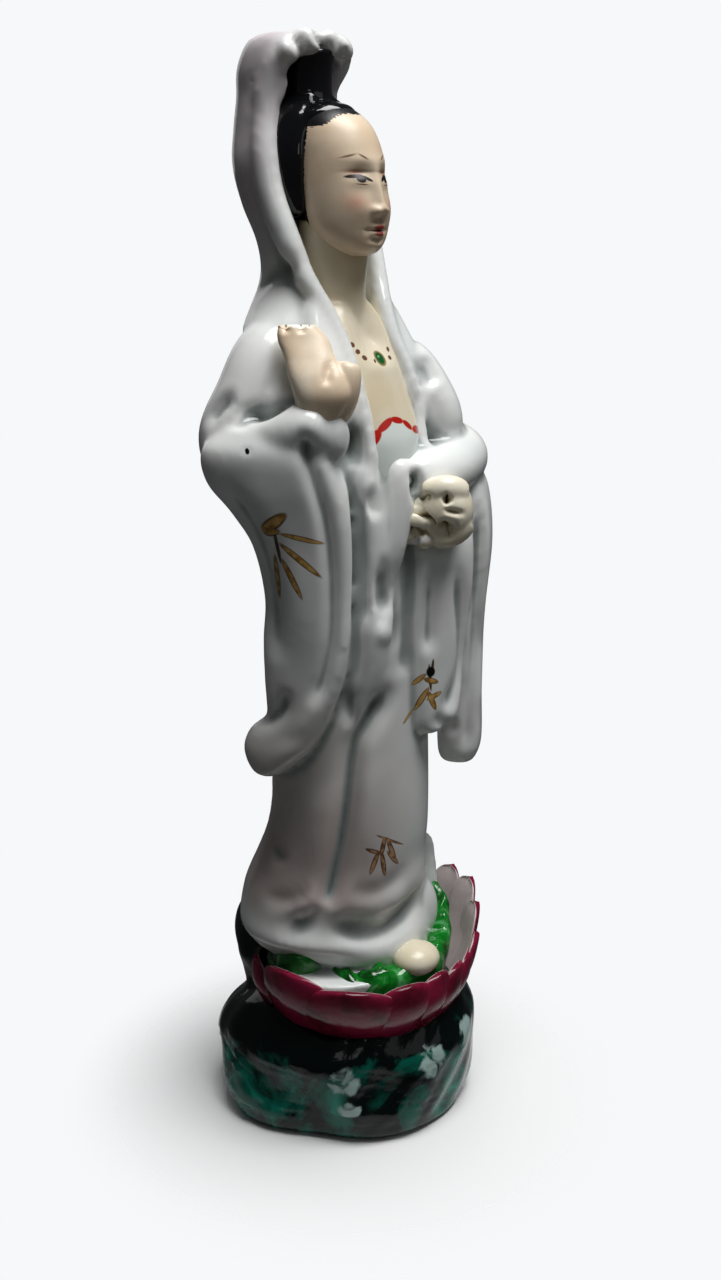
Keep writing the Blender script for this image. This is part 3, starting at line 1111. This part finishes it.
# %% Tints
COLOURS = {"data_type": "RGBA"}
SOFT = {"interpolation_type": "SMOOTHSTEP"}
TIMES, PLUS, MINUS, LARGER = ({"operation": name} for name in ("MULTIPLY", "ADD", "SUBTRACT", "MAXIMUM"))


def marks_of(size_mm):
    """The scale of a noise pattern whose marks are so many millimetres wide: marks to a metre."""
    return 1 / (size_mm * MM)


def up_at(z):
    """A height in figure units as metres above the ground, where a limit on Object coordinates is set."""
    return (SEAT + z * UNIT) * MM


def tinted(tree, base, colour, *limits):
    """The colour over the base. Its share is the product of a soft step for each limit of (value, start,
    full), from none of it at start to all of it at full."""
    share, *others = [add(tree, "MapRange", {0: value, 1: start, 2: full}, **SOFT)
                      for value, start, full in limits]
    for other in others:
        share = add(tree, "Math", {0: share, 1: other}, **TIMES)
    return add(tree, "Mix", {0: share, 6: base, 7: colour}, 2, **COLOURS)


# %% [markdown]
# ### Brush strokes
# The painter put the bamboo, the necklace and the face on over the glaze. One stroke is an ellipsoid that runs
# from one point to another, so a place on the skin is painted where it lies inside.

# %% Brush strokes painted over the glaze
TO_THE_PAINTER = (-0.74, -0.66, 0.1)


def stroke(tree, place, start, end, width, facing=TO_THE_PAINTER, depth=5):
    """How far inside one brush stroke a point is: 1 - |p| in an ellipsoid that runs from start to end."""
    start, end, facing = (np.array(v, float) for v in (start, end, facing))
    length = np.linalg.norm(end - start)
    along = (end - start) / length
    across = np.cross(facing, along)
    across /= np.linalg.norm(across)
    brush = add(tree, "Mapping", {
        "Vector": place, "Location": to_mm((start + end) / 2) * MM,
        "Rotation": Matrix(np.stack([along, across, np.cross(along, across)], axis=1).tolist()).to_euler(),
        "Scale": [size * UNIT * MM / 2 for size in (length, width, 2 * depth)]}, vector_type="TEXTURE")
    return add(tree, "TexGradient", {"Vector": brush}, "Fac", gradient_type="SPHERICAL")


def brushed(tree, place, strokes, facing=TO_THE_PAINTER, depth=5):
    """The largest value of stroke() over rows of (start, end, width)."""
    inside = 0.0
    for row in strokes:
        inside = add(tree, "Math", {0: stroke(tree, place, *row, facing, depth), 1: inside}, **LARGER)
    return inside


def painted(tree, place, base, layers, facing=TO_THE_PAINTER, depth=5):
    """Paints layers over the base colour, one after the other: (colour, how soft the edge of a stroke is as a
    share of it, strokes)."""
    for colour, soft, strokes in layers:
        base = tinted(tree, base, colour, (brushed(tree, place, strokes, facing, depth), 0, soft))
    return base


def wider(strokes, times):
    """The same strokes, each so many times as wide."""
    return [(start, end, width * times) for start, end, width in strokes]


print("brush strokes face", TO_THE_PAINTER)

# %% [markdown]
# ### White porcelain glaze
# A clear, faintly green glass over white clay. It shows a sharp highlight on every round, a cooler and darker
# tone where it pooled in the folds, and a mauve cast where the kiln was hotter.

# %% White glaze: colour of the glass
GLAZE_ROUGHNESS, GLASS_IOR = 0.16, 1.5
white_glaze, tree, place = new_material("white_porcelain_glaze")
east, north, height = add(tree, "SeparateXYZ", {"Vector": place}).node.outputs
cloud = add(tree, "TexNoise", {"Vector": place, "Scale": marks_of(25), "Detail": 2.0})
glass = tinted(tree, "#F3F4F2", "#E4E9E7", (cloud, 0.35, 0.7))
# A mauve cast low on the right of the skirt, above the hem, and a greyer one inside the hood. Limits in metres.
glass = tinted(tree, glass, "#C6BAB6", (height, 0.150, 0.075), (east, 0.008, -0.020), (height, 0.060, 0.074))
glass = tinted(tree, glass, "#D3CBCE", (height, 0.238, 0.262), (north, 0.004, 0.016))
# The glass is darker where it pooled, by how many millimetres a place lies under its surroundings.
hollow = add(tree, "Attribute", out="Fac", attribute_name="hollow")
glass = tinted(tree, glass, "#ABB2B0", (hollow, 0.03, 0.8))
glass = tinted(tree, glass, "#4C5451", (hollow, 0.6, 2.0))
print("glass:", len(tree.nodes), "nodes")

# %% [markdown]
# ### Bamboo in gold
# Three sprays of bamboo leaves were laid on in gold, each leaf with one stroke inside a dark outline. The one
# on the skirt is more copper. Iron in the clay left a black speck, and one hole burnt through at the sleeve.

# %% Strokes of the bamboo
SLEEVE_LEAVES = [
    ([-36.4, -2.2, 128.6], [-33.2, -10, 134.8], 3), ([-36.2, -2.4, 128.8], [-33.8, -8, 129.6], 2),
    ([-34.2, -6.3, 129], [-26.6, -16.8, 126.2], 1.2), ([-33.8, -6, 126.8], [-26.6, -15.8, 116.8], 1.5),
    ([-33, -6.4, 122.8], [-29.2, -11, 110.6], 1.4), ([-33.5, -4.9, 123.6], [-32, -4.9, 109.6], 1.3),
]
FRONT_LEAVES = [
    ([1.8, -21.8, 82.4], [5.2, -24.7, 85.8], 1.3), ([4, -24.3, 84.4], [9, -25.8, 82.6], 1.4),
    ([2.2, -22.6, 74.8], [6.2, -25, 82], 1.5), ([4.8, -24.8, 78], [10.2, -26.2, 79.6], 1.3),
    ([5.2, -25, 81], [8.2, -25.9, 74.4], 1.4), ([-1.8, -22, 71.8], [2.6, -22.6, 76], 0.7),
]
SKIRT_LEAVES = [
    ([-11.5, -20.1, 41.8], [-0.6, -22.1, 35.6], 0.6), ([-7.4, -21, 40.4], [-3.6, -21.6, 31], 1.1),
    ([-9.4, -20.2, 36.6], [-13, -19.8, 29.2], 1.2), ([-9, -20.6, 36.4], [-7.4, -20.8, 27.2], 1.1),
    ([-7.4, -21.1, 36], [-2.6, -21.8, 29.8], 1), ([-14.4, -19.6, 37.8], [-8.4, -20.6, 35], 1),
    ([-7.6, -20.8, 40.4], [-9.2, -20.6, 34], 1.1),
]
STEMS = [([-34.5, -5.5, 131], [-32.8, -6.6, 120], 0.8), ([5.8, -24.9, 89], [6.4, -25.4, 80], 0.8),
         ([7, -25.6, 90], [6.4, -25.4, 85], 0.7)]
SPECKS = [([-39.7, -1.8, 151], [-39.5, -2, 149.2], 1.3), ([5.6, -25.2, 87.8], [6.6, -25.6, 84.4], 3)]
print("bamboo:", len(SLEEVE_LEAVES + FRONT_LEAVES + SKIRT_LEAVES), "leaves")

# %% White glaze: the painted bamboo
flecks = add(tree, "TexNoise", {"Vector": place, "Scale": marks_of(2.38), "Detail": 2.0})
gold = tinted(tree, "#D9AF66", "#A0722C", (flecks, 0.4, 0.65))
copper = tinted(tree, "#C79A70", "#80583A", (flecks, 0.4, 0.65))
colour = painted(tree, place, glass, [
    ("#5A452C", 0.25, wider(SLEEVE_LEAVES + FRONT_LEAVES + STEMS, 1.35)),
    ("#54433A", 0.25, wider(SKIRT_LEAVES, 1.5)),
    (gold, 0.35, SLEEVE_LEAVES + FRONT_LEAVES),
    (copper, 0.35, SKIRT_LEAVES),
    ("#0B0907", 0.3, SPECKS),
])
ripples = add(tree, "TexNoise", {"Vector": place, "Scale": marks_of(6.25), "Detail": 1.0})
fired(tree, colour, GLAZE_ROUGHNESS, GLASS_IOR, ripples, 0.12, 0.6)

# %% [markdown]
# ### Tinted biscuit
# The skin was left without glaze and rubbed with a thin tint, so it is soft and satin beside the glassy robe.
# The clouded colour looks hand-rubbed, and the fine grain breaks up the light like an eggshell.

# %% Biscuit, and the right hand
def biscuit(name, light, dark):
    """The start of a material of unglazed porcelain with a thin tint: material, tree, place and colour."""
    material, tree, place = new_material(name)
    cloud = add(tree, "TexNoise", {"Vector": place, "Scale": marks_of(14.3), "Detail": 3.0})
    return material, tree, place, tinted(tree, dark, light, (cloud, 0.35, 0.65))


def fired_biscuit(tree, place, colour, roughness):
    """Ends a biscuit material with its fine grain."""
    grain = add(tree, "TexNoise", {"Vector": place, "Scale": marks_of(2 / 3), "Detail": 2.0})
    fired(tree, colour, roughness, GLASS_IOR, grain, 0.1, 0.2)


hand_tint, tree, place, colour = biscuit("flesh_tinted_biscuit", "#F1E3CC", "#E6CFB2")
hollow = add(tree, "Attribute", out="Fac", attribute_name="hollow")
colour = tinted(tree, colour, "#B08C6C", (hollow, 0.05, 0.8))
colour = painted(tree, place, colour, [("#D8AE92", 0.9, [([-25, -15, 166], [-20, -18, 162], 7)])])
# The broken edges show the white clay, with small holes where the fingers were.
BROKEN = [(as_seen(-17, 20, 181), as_seen(-8, 18, 180), 3.6),
          (as_seen(-2, 26, 173.4), as_seen(3.4, 26, 172.6), 3)]
HOLES = [(as_seen(-15.6, 20, 182), as_seen(-15.2, 20, 179.6), 0.9),
         (as_seen(-12, 20, 182), as_seen(-11.4, 20, 179.8), 0.9),
         (as_seen(-9.6, 19, 181.4), as_seen(-9.4, 19, 180), 0.6)]
colour = painted(tree, place, colour, [("#F8F5EC", 0.5, BROKEN), ("#5E5142", 0.5, HOLES)], depth=9)
fired_biscuit(tree, place, colour, 0.38)

# %% [markdown]
# The left hand is creamier and was half glazed, so it shines more. Dirt has gathered in its chips, and that is
# what makes its shape readable.

# %% Biscuit of the fist and the foot
cream_tint, tree, place, colour = biscuit("cream_tinted_biscuit", "#F5EEDA", "#EADFC2")
hollow = add(tree, "Attribute", out="Fac", attribute_name="hollow")
colour = tinted(tree, colour, "#A3946E", (hollow, 0.02, 0.5))
colour = tinted(tree, colour, "#2B2317", (hollow, 0.4, 1.1))
BARE_EDGE = [(as_seen(16, 12, 122.4), as_seen(23.4, 14, 124.6), 3)]
colour = painted(tree, place, colour, [("#FBFBF6", 0.4, BARE_EDGE)])
fired_biscuit(tree, place, colour, 0.28)

# %% [markdown]
# The chest carries the painter's finest work: brown beads round a green pendant, and a red ribbon along the
# edge of the white dress. That edge rises from the right and falls again past the middle.

# %% Biscuit of the chest, and the white dress
chest_tint, tree, place, colour = biscuit("cream_painted_biscuit", "#EFE4CB", "#E7D8B8")
east, _, height = add(tree, "SeparateXYZ", {"Vector": place}).node.outputs
DRESS_LOW, DRESS_HIGH, DRESS_FALL = up_at(146.8), up_at(155.4), 4.5 * UNIT * MM
RISE_START, RISE_END, FALL_START, FALL_END = (x * UNIT * MM for x in (-11, -2, -1, 8))
rise = add(tree, "MapRange", {0: east, 1: RISE_START, 2: RISE_END, 3: DRESS_LOW, 4: DRESS_HIGH}, **SOFT)
fall = add(tree, "MapRange", {0: east, 1: FALL_START, 2: FALL_END, 4: DRESS_FALL}, **SOFT)
edge = add(tree, "Math", {0: rise, 1: fall}, **MINUS)
above = add(tree, "Math", {0: height, 1: edge}, **MINUS)
colour = tinted(tree, colour, "#E6EEE9", (above, 0.3 * MM, -0.3 * MM))
print("the dress ends", round(DRESS_HIGH, 3), "m up")

# %% Necklace and ribbon
CHEST_FRONT = (-0.2, -0.95, 0.2)
BEADS = [([-7.6, -8.4, 175.6], [-6.9, -9, 174.1], 1.5), ([-6.8, -9.6, 173.7], [-6, -10, 172.4], 1.7),
         ([-5.8, -10.6, 172], [-4.4, -11.2, 170.9], 1.6), ([-2.6, -11.8, 170.6], [-1.8, -12, 170.4], 1.3),
         ([3.6, -11.6, 170.4], [5, -11.2, 171.4], 1.5), ([4.9, -10.8, 172.4], [5.5, -10.2, 174], 1.3)]
RIBBON = [([-10.6, -18, 145.6], [-8.8, -17, 150.6], 4), ([-9.6, -17, 149], [-5.4, -15.8, 153.4], 3),
          ([-6.8, -16, 152.4], [-1, -16.7, 156.1], 2.5), ([-2.6, -16.7, 155.8], [2.6, -17, 154.6], 2.1),
          ([1.6, -17, 155.2], [6, -17, 152.2], 2), ([5, -17, 152.2], [12, -16.4, 151.6], 2.6)]
colour = painted(tree, place, colour, [
    ("#6F4A38", 0.3, BEADS),
    ("#8C7F52", 0.2, [([0.2, -12, 168.8], [0.2, -12, 173.4], 4.2)]),
    ("#14572A", 0.3, [([0.2, -12, 169.3], [0.2, -12, 172.9], 3.1)]),
    ("#7FC08A", 0.5, [([-0.4, -12, 171.4], [0.4, -12, 172], 0.8)]),
    ("#C3221A", 0.25, RIBBON),
    ("#7E1512", 0.4, [([9, -17, 151.6], [12.4, -16.4, 151.6], 2.6)]),
], CHEST_FRONT)
fired_biscuit(tree, place, colour, 0.24)

# %% [markdown]
# The face is painted like a doll's: a warm blush on cheek and lid, a firm dark line above the eye, a thin brow
# and small red lips.

# %% The painted face
face_tint, tree, place, colour = biscuit("face_tinted_biscuit", "#EBD7BC", "#E0C8AB")
FACE_FRONT, IN_FRONT = (0, -1, 0), -9


def both_sides(*strokes):
    """Rows of (x1, z1, x2, z2, width) on the left of the face, and the same mirrored."""
    return [([side * x1, IN_FRONT, z1], [side * x2, IN_FRONT, z2], width)
            for x1, z1, x2, z2, width in strokes for side in (1, -1)]


def across_the_mouth(half, above, width):
    """One stroke from side to side at so many units above the middle of the mouth."""
    return ([-half, IN_FRONT, MOUTH_Z + above], [half, IN_FRONT, MOUTH_Z + above], width)


colour = painted(tree, place, colour, [
    ("#CF957C", 1.4, both_sides((1.6, 209.6, 11.4, 210.6, 9))),
    ("#B97F66", 1.2, both_sides((1.8, 217.6, 9, 217.4, 3.6))),
    ("#CDBBA4", 0.3, both_sides((2, EYE_Z, 7, EYE_Z + 0.2, 1.9))),
    ("#140C08", 0.25, both_sides((3.2, EYE_Z + 0.2, 5.9, EYE_Z + 0.3, 2.1))),
    ("#1C100C", 0.3, both_sides((1.4, 215.2, 4.6, 216.8, 1.0), (3.4, 216.8, 8.6, 216.3, 1.1))),
    ("#7C5540", 0.5, both_sides((2.4, 214.4, 6.8, 214.7, 0.4))),
    ("#77573F", 0.8, both_sides((1.8, 220.2, 5.4, 222.3, 0.9), (4.2, 222.2, 9.6, 220.6, 0.8))),
    ("#A8493F", 0.4, [across_the_mouth(2.5, 0.7, 1.7), across_the_mouth(2, -0.9, 1.8)]),
    ("#5E2C25", 0.4, [across_the_mouth(2.7, -0.1, 0.45)]),
], FACE_FRONT, depth=12)
print("face:", len(tree.nodes), "nodes")

# %% [markdown]
# The painter went over the lower edge of the black hair with short bristle strokes. So the head is black above
# a line that drops towards the ears, and behind them, with a ragged edge of a fifth of a millimetre.

# %% The brushed hairline
HAIRLINE, DROP = up_at(231.8), 3.6 * MM
RAGGED, CRISP = 0.2 * MM, 0.1 * MM
EAR_LINE = 4.2 * MM  # how far behind the axis the hair begins
sides, north, height = add(tree, "SeparateXYZ", {"Vector": place}).node.outputs
outward = add(tree, "Math", {0: sides}, operation="ABSOLUTE")
bristles = add(tree, "Mapping", {"Vector": place, "Scale": [marks_of(size) for size in (2 / 3, 10 / 3, 0.5)]})
ragged = add(tree, "TexNoise", {"Vector": bristles, "Scale": 1.0, "Detail": 1.0})
ragged = add(tree, "MapRange", {0: ragged, 1: 0.35, 2: 0.65, 3: -RAGGED, 4: RAGGED}, **SOFT)
drop = add(tree, "MapRange", {0: outward, 1: 3 * MM, 2: 11.2 * MM, 4: DROP}, **SOFT)
line = add(tree, "Math", {0: HAIRLINE, 1: drop}, **MINUS)
above = add(tree, "Math", {0: height, 1: line}, **MINUS)
above = add(tree, "Math", {0: above, 1: ragged}, **PLUS)
above = add(tree, "MapRange", {0: above, 1: -CRISP, 2: CRISP}, **SOFT)
behind = add(tree, "Math", {0: north, 1: ragged}, **PLUS)
behind = add(tree, "MapRange", {0: behind, 1: EAR_LINE - CRISP, 2: EAR_LINE + CRISP}, **SOFT)
drawn = add(tree, "Math", {0: above, 1: behind}, **LARGER)
colour = add(tree, "Mix", {0: drawn, 6: colour, 7: "#0B0A0B"}, 2, **COLOURS)
fired_biscuit(tree, place, colour, 0.36)

# %% [markdown]
# ### Black hair glaze
# A thick mirror-black glaze. It is almost without colour of its own: what the eye sees is small bright
# highlights on the waves of the brush.

# %% Black hair glaze
black_glaze, tree, place = new_material("black_hair_glaze")
cloud = add(tree, "TexNoise", {"Vector": place, "Scale": marks_of(8.33), "Detail": 3.0})
black = add(tree, "Mix", {0: cloud, 6: "#060607", 7: "#15161A"}, 2, **COLOURS)
fired(tree, black, 0.07, 1.52, cloud, 0.35, 0.5)

# %% [markdown]
# ### Green leaf glaze
# Copper green, dark where it is thick and pale where it ran thin over the puckers of the leaf, and very wet in
# its shine.

# %% Green leaf glaze
green_glaze, tree, place = new_material("green_leaf_glaze")
cloud = add(tree, "TexNoise", {"Vector": place, "Scale": marks_of(7.69), "Detail": 4.0, "Distortion": 1.0})
green = tinted(tree, "#04410C", "#0C7A20", (cloud, 0.35, 0.55))
green = tinted(tree, green, "#5DB36C", (cloud, 0.56, 0.72))
fired(tree, green, 0.08, 1.52, cloud, 0.4, 0.8)

# %% [markdown]
# ### Rose petal glaze
# Crimson outside and white inside. The rose ran thin over the lips of the petals, so their rims are pink.

# %% Rose petal glaze
rose_glaze, tree, place = new_material("rose_petal_glaze")
cloud = add(tree, "TexNoise", {"Vector": place, "Scale": marks_of(9.09), "Detail": 3.0})
cloud = add(tree, "MapRange", {0: cloud, 1: 0.4, 2: 0.68}, **SOFT)
crimson = add(tree, "Mix", {0: cloud, 6: "#86183A", 7: "#5C0B20"}, 2, **COLOURS)
outside = add(tree, "Attribute", out="Fac", attribute_name="outside")
rose = tinted(tree, crimson, "#F0E0E0", (outside, 0.3, -0.3))
fired(tree, rose, 0.16, 1.45, cloud, 0.15, 0.6)

# %% [markdown]
# ### Teal rock glaze
# A run glaze, nearly black where it is thick, as under the petals, and teal where it slid off the knobs. Milky
# patches stand where it crawled, which is what makes a dark rock look like stone.

# %% Teal rock glaze
teal_glaze, tree, place = new_material("teal_rock_glaze")
height = add(tree, "SeparateXYZ", {"Vector": place}, "Z")
cloud = add(tree, "TexNoise", {"Vector": place, "Scale": marks_of(18.2), "Detail": 6.0, "Distortion": 1.4})
under_petals = add(tree, "MapRange", {0: height, 1: 19 * MM, 2: 30 * MM, 4: 0.24}, **SOFT)
thin = add(tree, "Math", {0: cloud, 1: under_petals}, **MINUS)
teal = tinted(tree, "#030B0A", "#075748", (thin, 0.4, 0.56))
teal = tinted(tree, teal, "#1F8A78", (thin, 0.55, 0.7))
print("teal:", len(tree.nodes), "nodes")

# %% Milky patches on the rock
ROCK_PATCHES = [([-31, -16, -33], [-22, -28, -24], 17), ([-27, -22, -42], [-24, -24, -34], 12),
                ([-8, -37, -36], [2, -37, -20], 17), ([10, -36, -36], [16, -34, -18], 15),
                ([30, 20, -32], [20, 30, -22], 16)]
patches = brushed(tree, place, ROCK_PATCHES, depth=8)
patches = add(tree, "MapRange", {0: patches, 2: 0.7, 4: 0.5}, **SOFT)
crawl = add(tree, "TexNoise", {"Vector": place, "Scale": marks_of(7.69), "Detail": 5.0, "Distortion": 1.0})
crawl = add(tree, "Math", {0: crawl, 1: patches}, **PLUS)
teal = tinted(tree, teal, "#9DB5B0", (crawl, 0.84, 1.0))
knobs = add(tree, "TexNoise", {"Vector": place, "Scale": marks_of(11.1), "Detail": 4.0, "Distortion": 0.6})
fired(tree, teal, 0.12, 1.36, knobs, 0.3, 1.6)

# %% [markdown]
# ## Each piece gets its finish
# The part is one solid, so every piece rides it, and the robe takes the place of the plain solid.

# %% Give each piece its finish and its body
FINISHES = [
    (robe, white_glaze, "white_glaze"), (chest, chest_tint, "biscuit_skin"),
    (head, face_tint, "biscuit_skin"), (hair, black_glaze, "black_glaze"),
    (right_hand, hand_tint, "biscuit_skin"), (left_hand, cream_tint, "biscuit_skin"),
    (toe, cream_tint, "biscuit_skin"), (leaf, green_glaze, "green_glaze"), (petals, rose_glaze, "rose_glaze"),
    (mound, teal_glaze, "teal_glaze"),
]
for piece, material, slot in FINISHES:
    piece.data.materials.clear()
    piece.data.materials.append(material)
    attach(piece, "root")
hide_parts("guanyin_figure")
print("finishes:", len(FINISHES), "pieces")

# %% [markdown]
# ## Studio
# The photograph has a pale floor that fades into white paper. A large soft light hangs overhead, so everything
# that looks up is bright and upright cloth stays in half shade. Three weak ones help it: one beside the camera,
# one that the glaze mirrors as a small window, and one behind that lights the back.

# %% Floor
FLOOR = 3.0
FADE_START, FADE_END = 0.036, 0.09  # metres from the axis
floor_mesh = bpy.data.meshes.new("floor")
floor_mesh.from_pydata([(-FLOOR, -FLOOR, 0), (FLOOR, -FLOOR, 0), (FLOOR, FLOOR, 0), (-FLOOR, FLOOR, 0)], [],
                       [(0, 1, 2, 3)])
floor = bpy.data.objects.new("floor", floor_mesh)
bpy.context.scene.collection.objects.link(floor)
pale, tree, place = new_material("pale_floor")
away = add(tree, "VectorMath", {0: place}, "Value", operation="LENGTH")
fade = add(tree, "MapRange", {0: away, 1: FADE_START, 2: FADE_END}, **SOFT)
paper = fired(tree, "#F4F4F4", 0.7, GLASS_IOR)
blend = add(tree, "MixShader", {0: fade, 1: paper, 2: add(tree, "BsdfTransparent")})
tree.links.new(blend, tree.nodes["Material Output"].inputs["Surface"])
floor.data.materials.append(pale)

# %% [markdown]
# The eye sees a white backdrop, but the glaze mirrors a dim room.

# %% Backdrop and lights
BACKDROP, ROOM = 1.05, 0.05
LOOKED_AT = Vector((0, 0, 0.15))
world = bpy.data.worlds.new("studio")
bpy.context.scene.world = world
world.use_nodes = True
sky = world.node_tree
eye_ray = add(sky, "LightPath", out="Is Camera Ray")
brightness = add(sky, "MapRange", {0: eye_ray, 3: ROOM, 4: BACKDROP})
sky.nodes["Background"].inputs["Color"].default_value = linear("#F1F3F4")
sky.links.new(brightness, sky.nodes["Background"].inputs["Strength"])
# Rows of name, then metres right of, nearer than and above the figure's foot, size in metres, and watts.
for name, right, near, height, size, watts in [
        ("overhead", 0.2, 0.1, 1.1, 0.6, 12), ("beside_camera", 0.9, 0.5, 0.7, 0.5, 0.35),
        ("window", 0.1, 0.5, 0.5, 0.12, 0.05), ("behind", -0.3, -0.9, 0.6, 0.8, 1.3)]:
    light = bpy.data.lights.new(name, "AREA")
    light.shape = "SQUARE"
    light.size = size
    light.energy = watts
    lamp = bpy.data.objects.new(name, light)
    lamp.location = TO_RIGHT * right + TO_CAMERA * near + Vector((0, 0, height))
    lamp.rotation_euler = (LOOKED_AT - lamp.location).to_track_quat("-Z", "Y").to_euler()
    bpy.context.scene.collection.objects.link(lamp)
bpy.context.scene.view_settings.view_transform = "Standard"
print("lights:", len(bpy.data.lights))

# %% [markdown]
# ## The camera
# It stands where the photograph was taken from. Its lens comes from how strongly the verticals converge, and it
# is turned a little so that the figure's axis lands where the picture has it.

# %% The camera, where the photograph was taken from
PITCH_DOWN = math.radians(16.2)
PHOTO_HEIGHT, FOCAL_PIXELS = 1280, 1433
AXIS_PIXEL, MIDDLE_PIXEL = 347, 360.5
SENSOR = 36
camera_data = bpy.data.cameras.new("camera")
camera_data.sensor_width = SENSOR
camera_data.lens = FOCAL_PIXELS / PHOTO_HEIGHT * SENSOR
camera = bpy.data.objects.new("camera", camera_data)
camera.location = EYE
turn_right = math.atan((MIDDLE_PIXEL - AXIS_PIXEL) / FOCAL_PIXELS)
camera.rotation_euler = (math.pi / 2 - PITCH_DOWN, 0, CAMERA_AZIMUTH - turn_right)
bpy.context.scene.collection.objects.link(camera)
bpy.context.scene.camera = camera
print("lens:", round(camera_data.lens, 1), "mm on a sensor of", SENSOR, "mm")
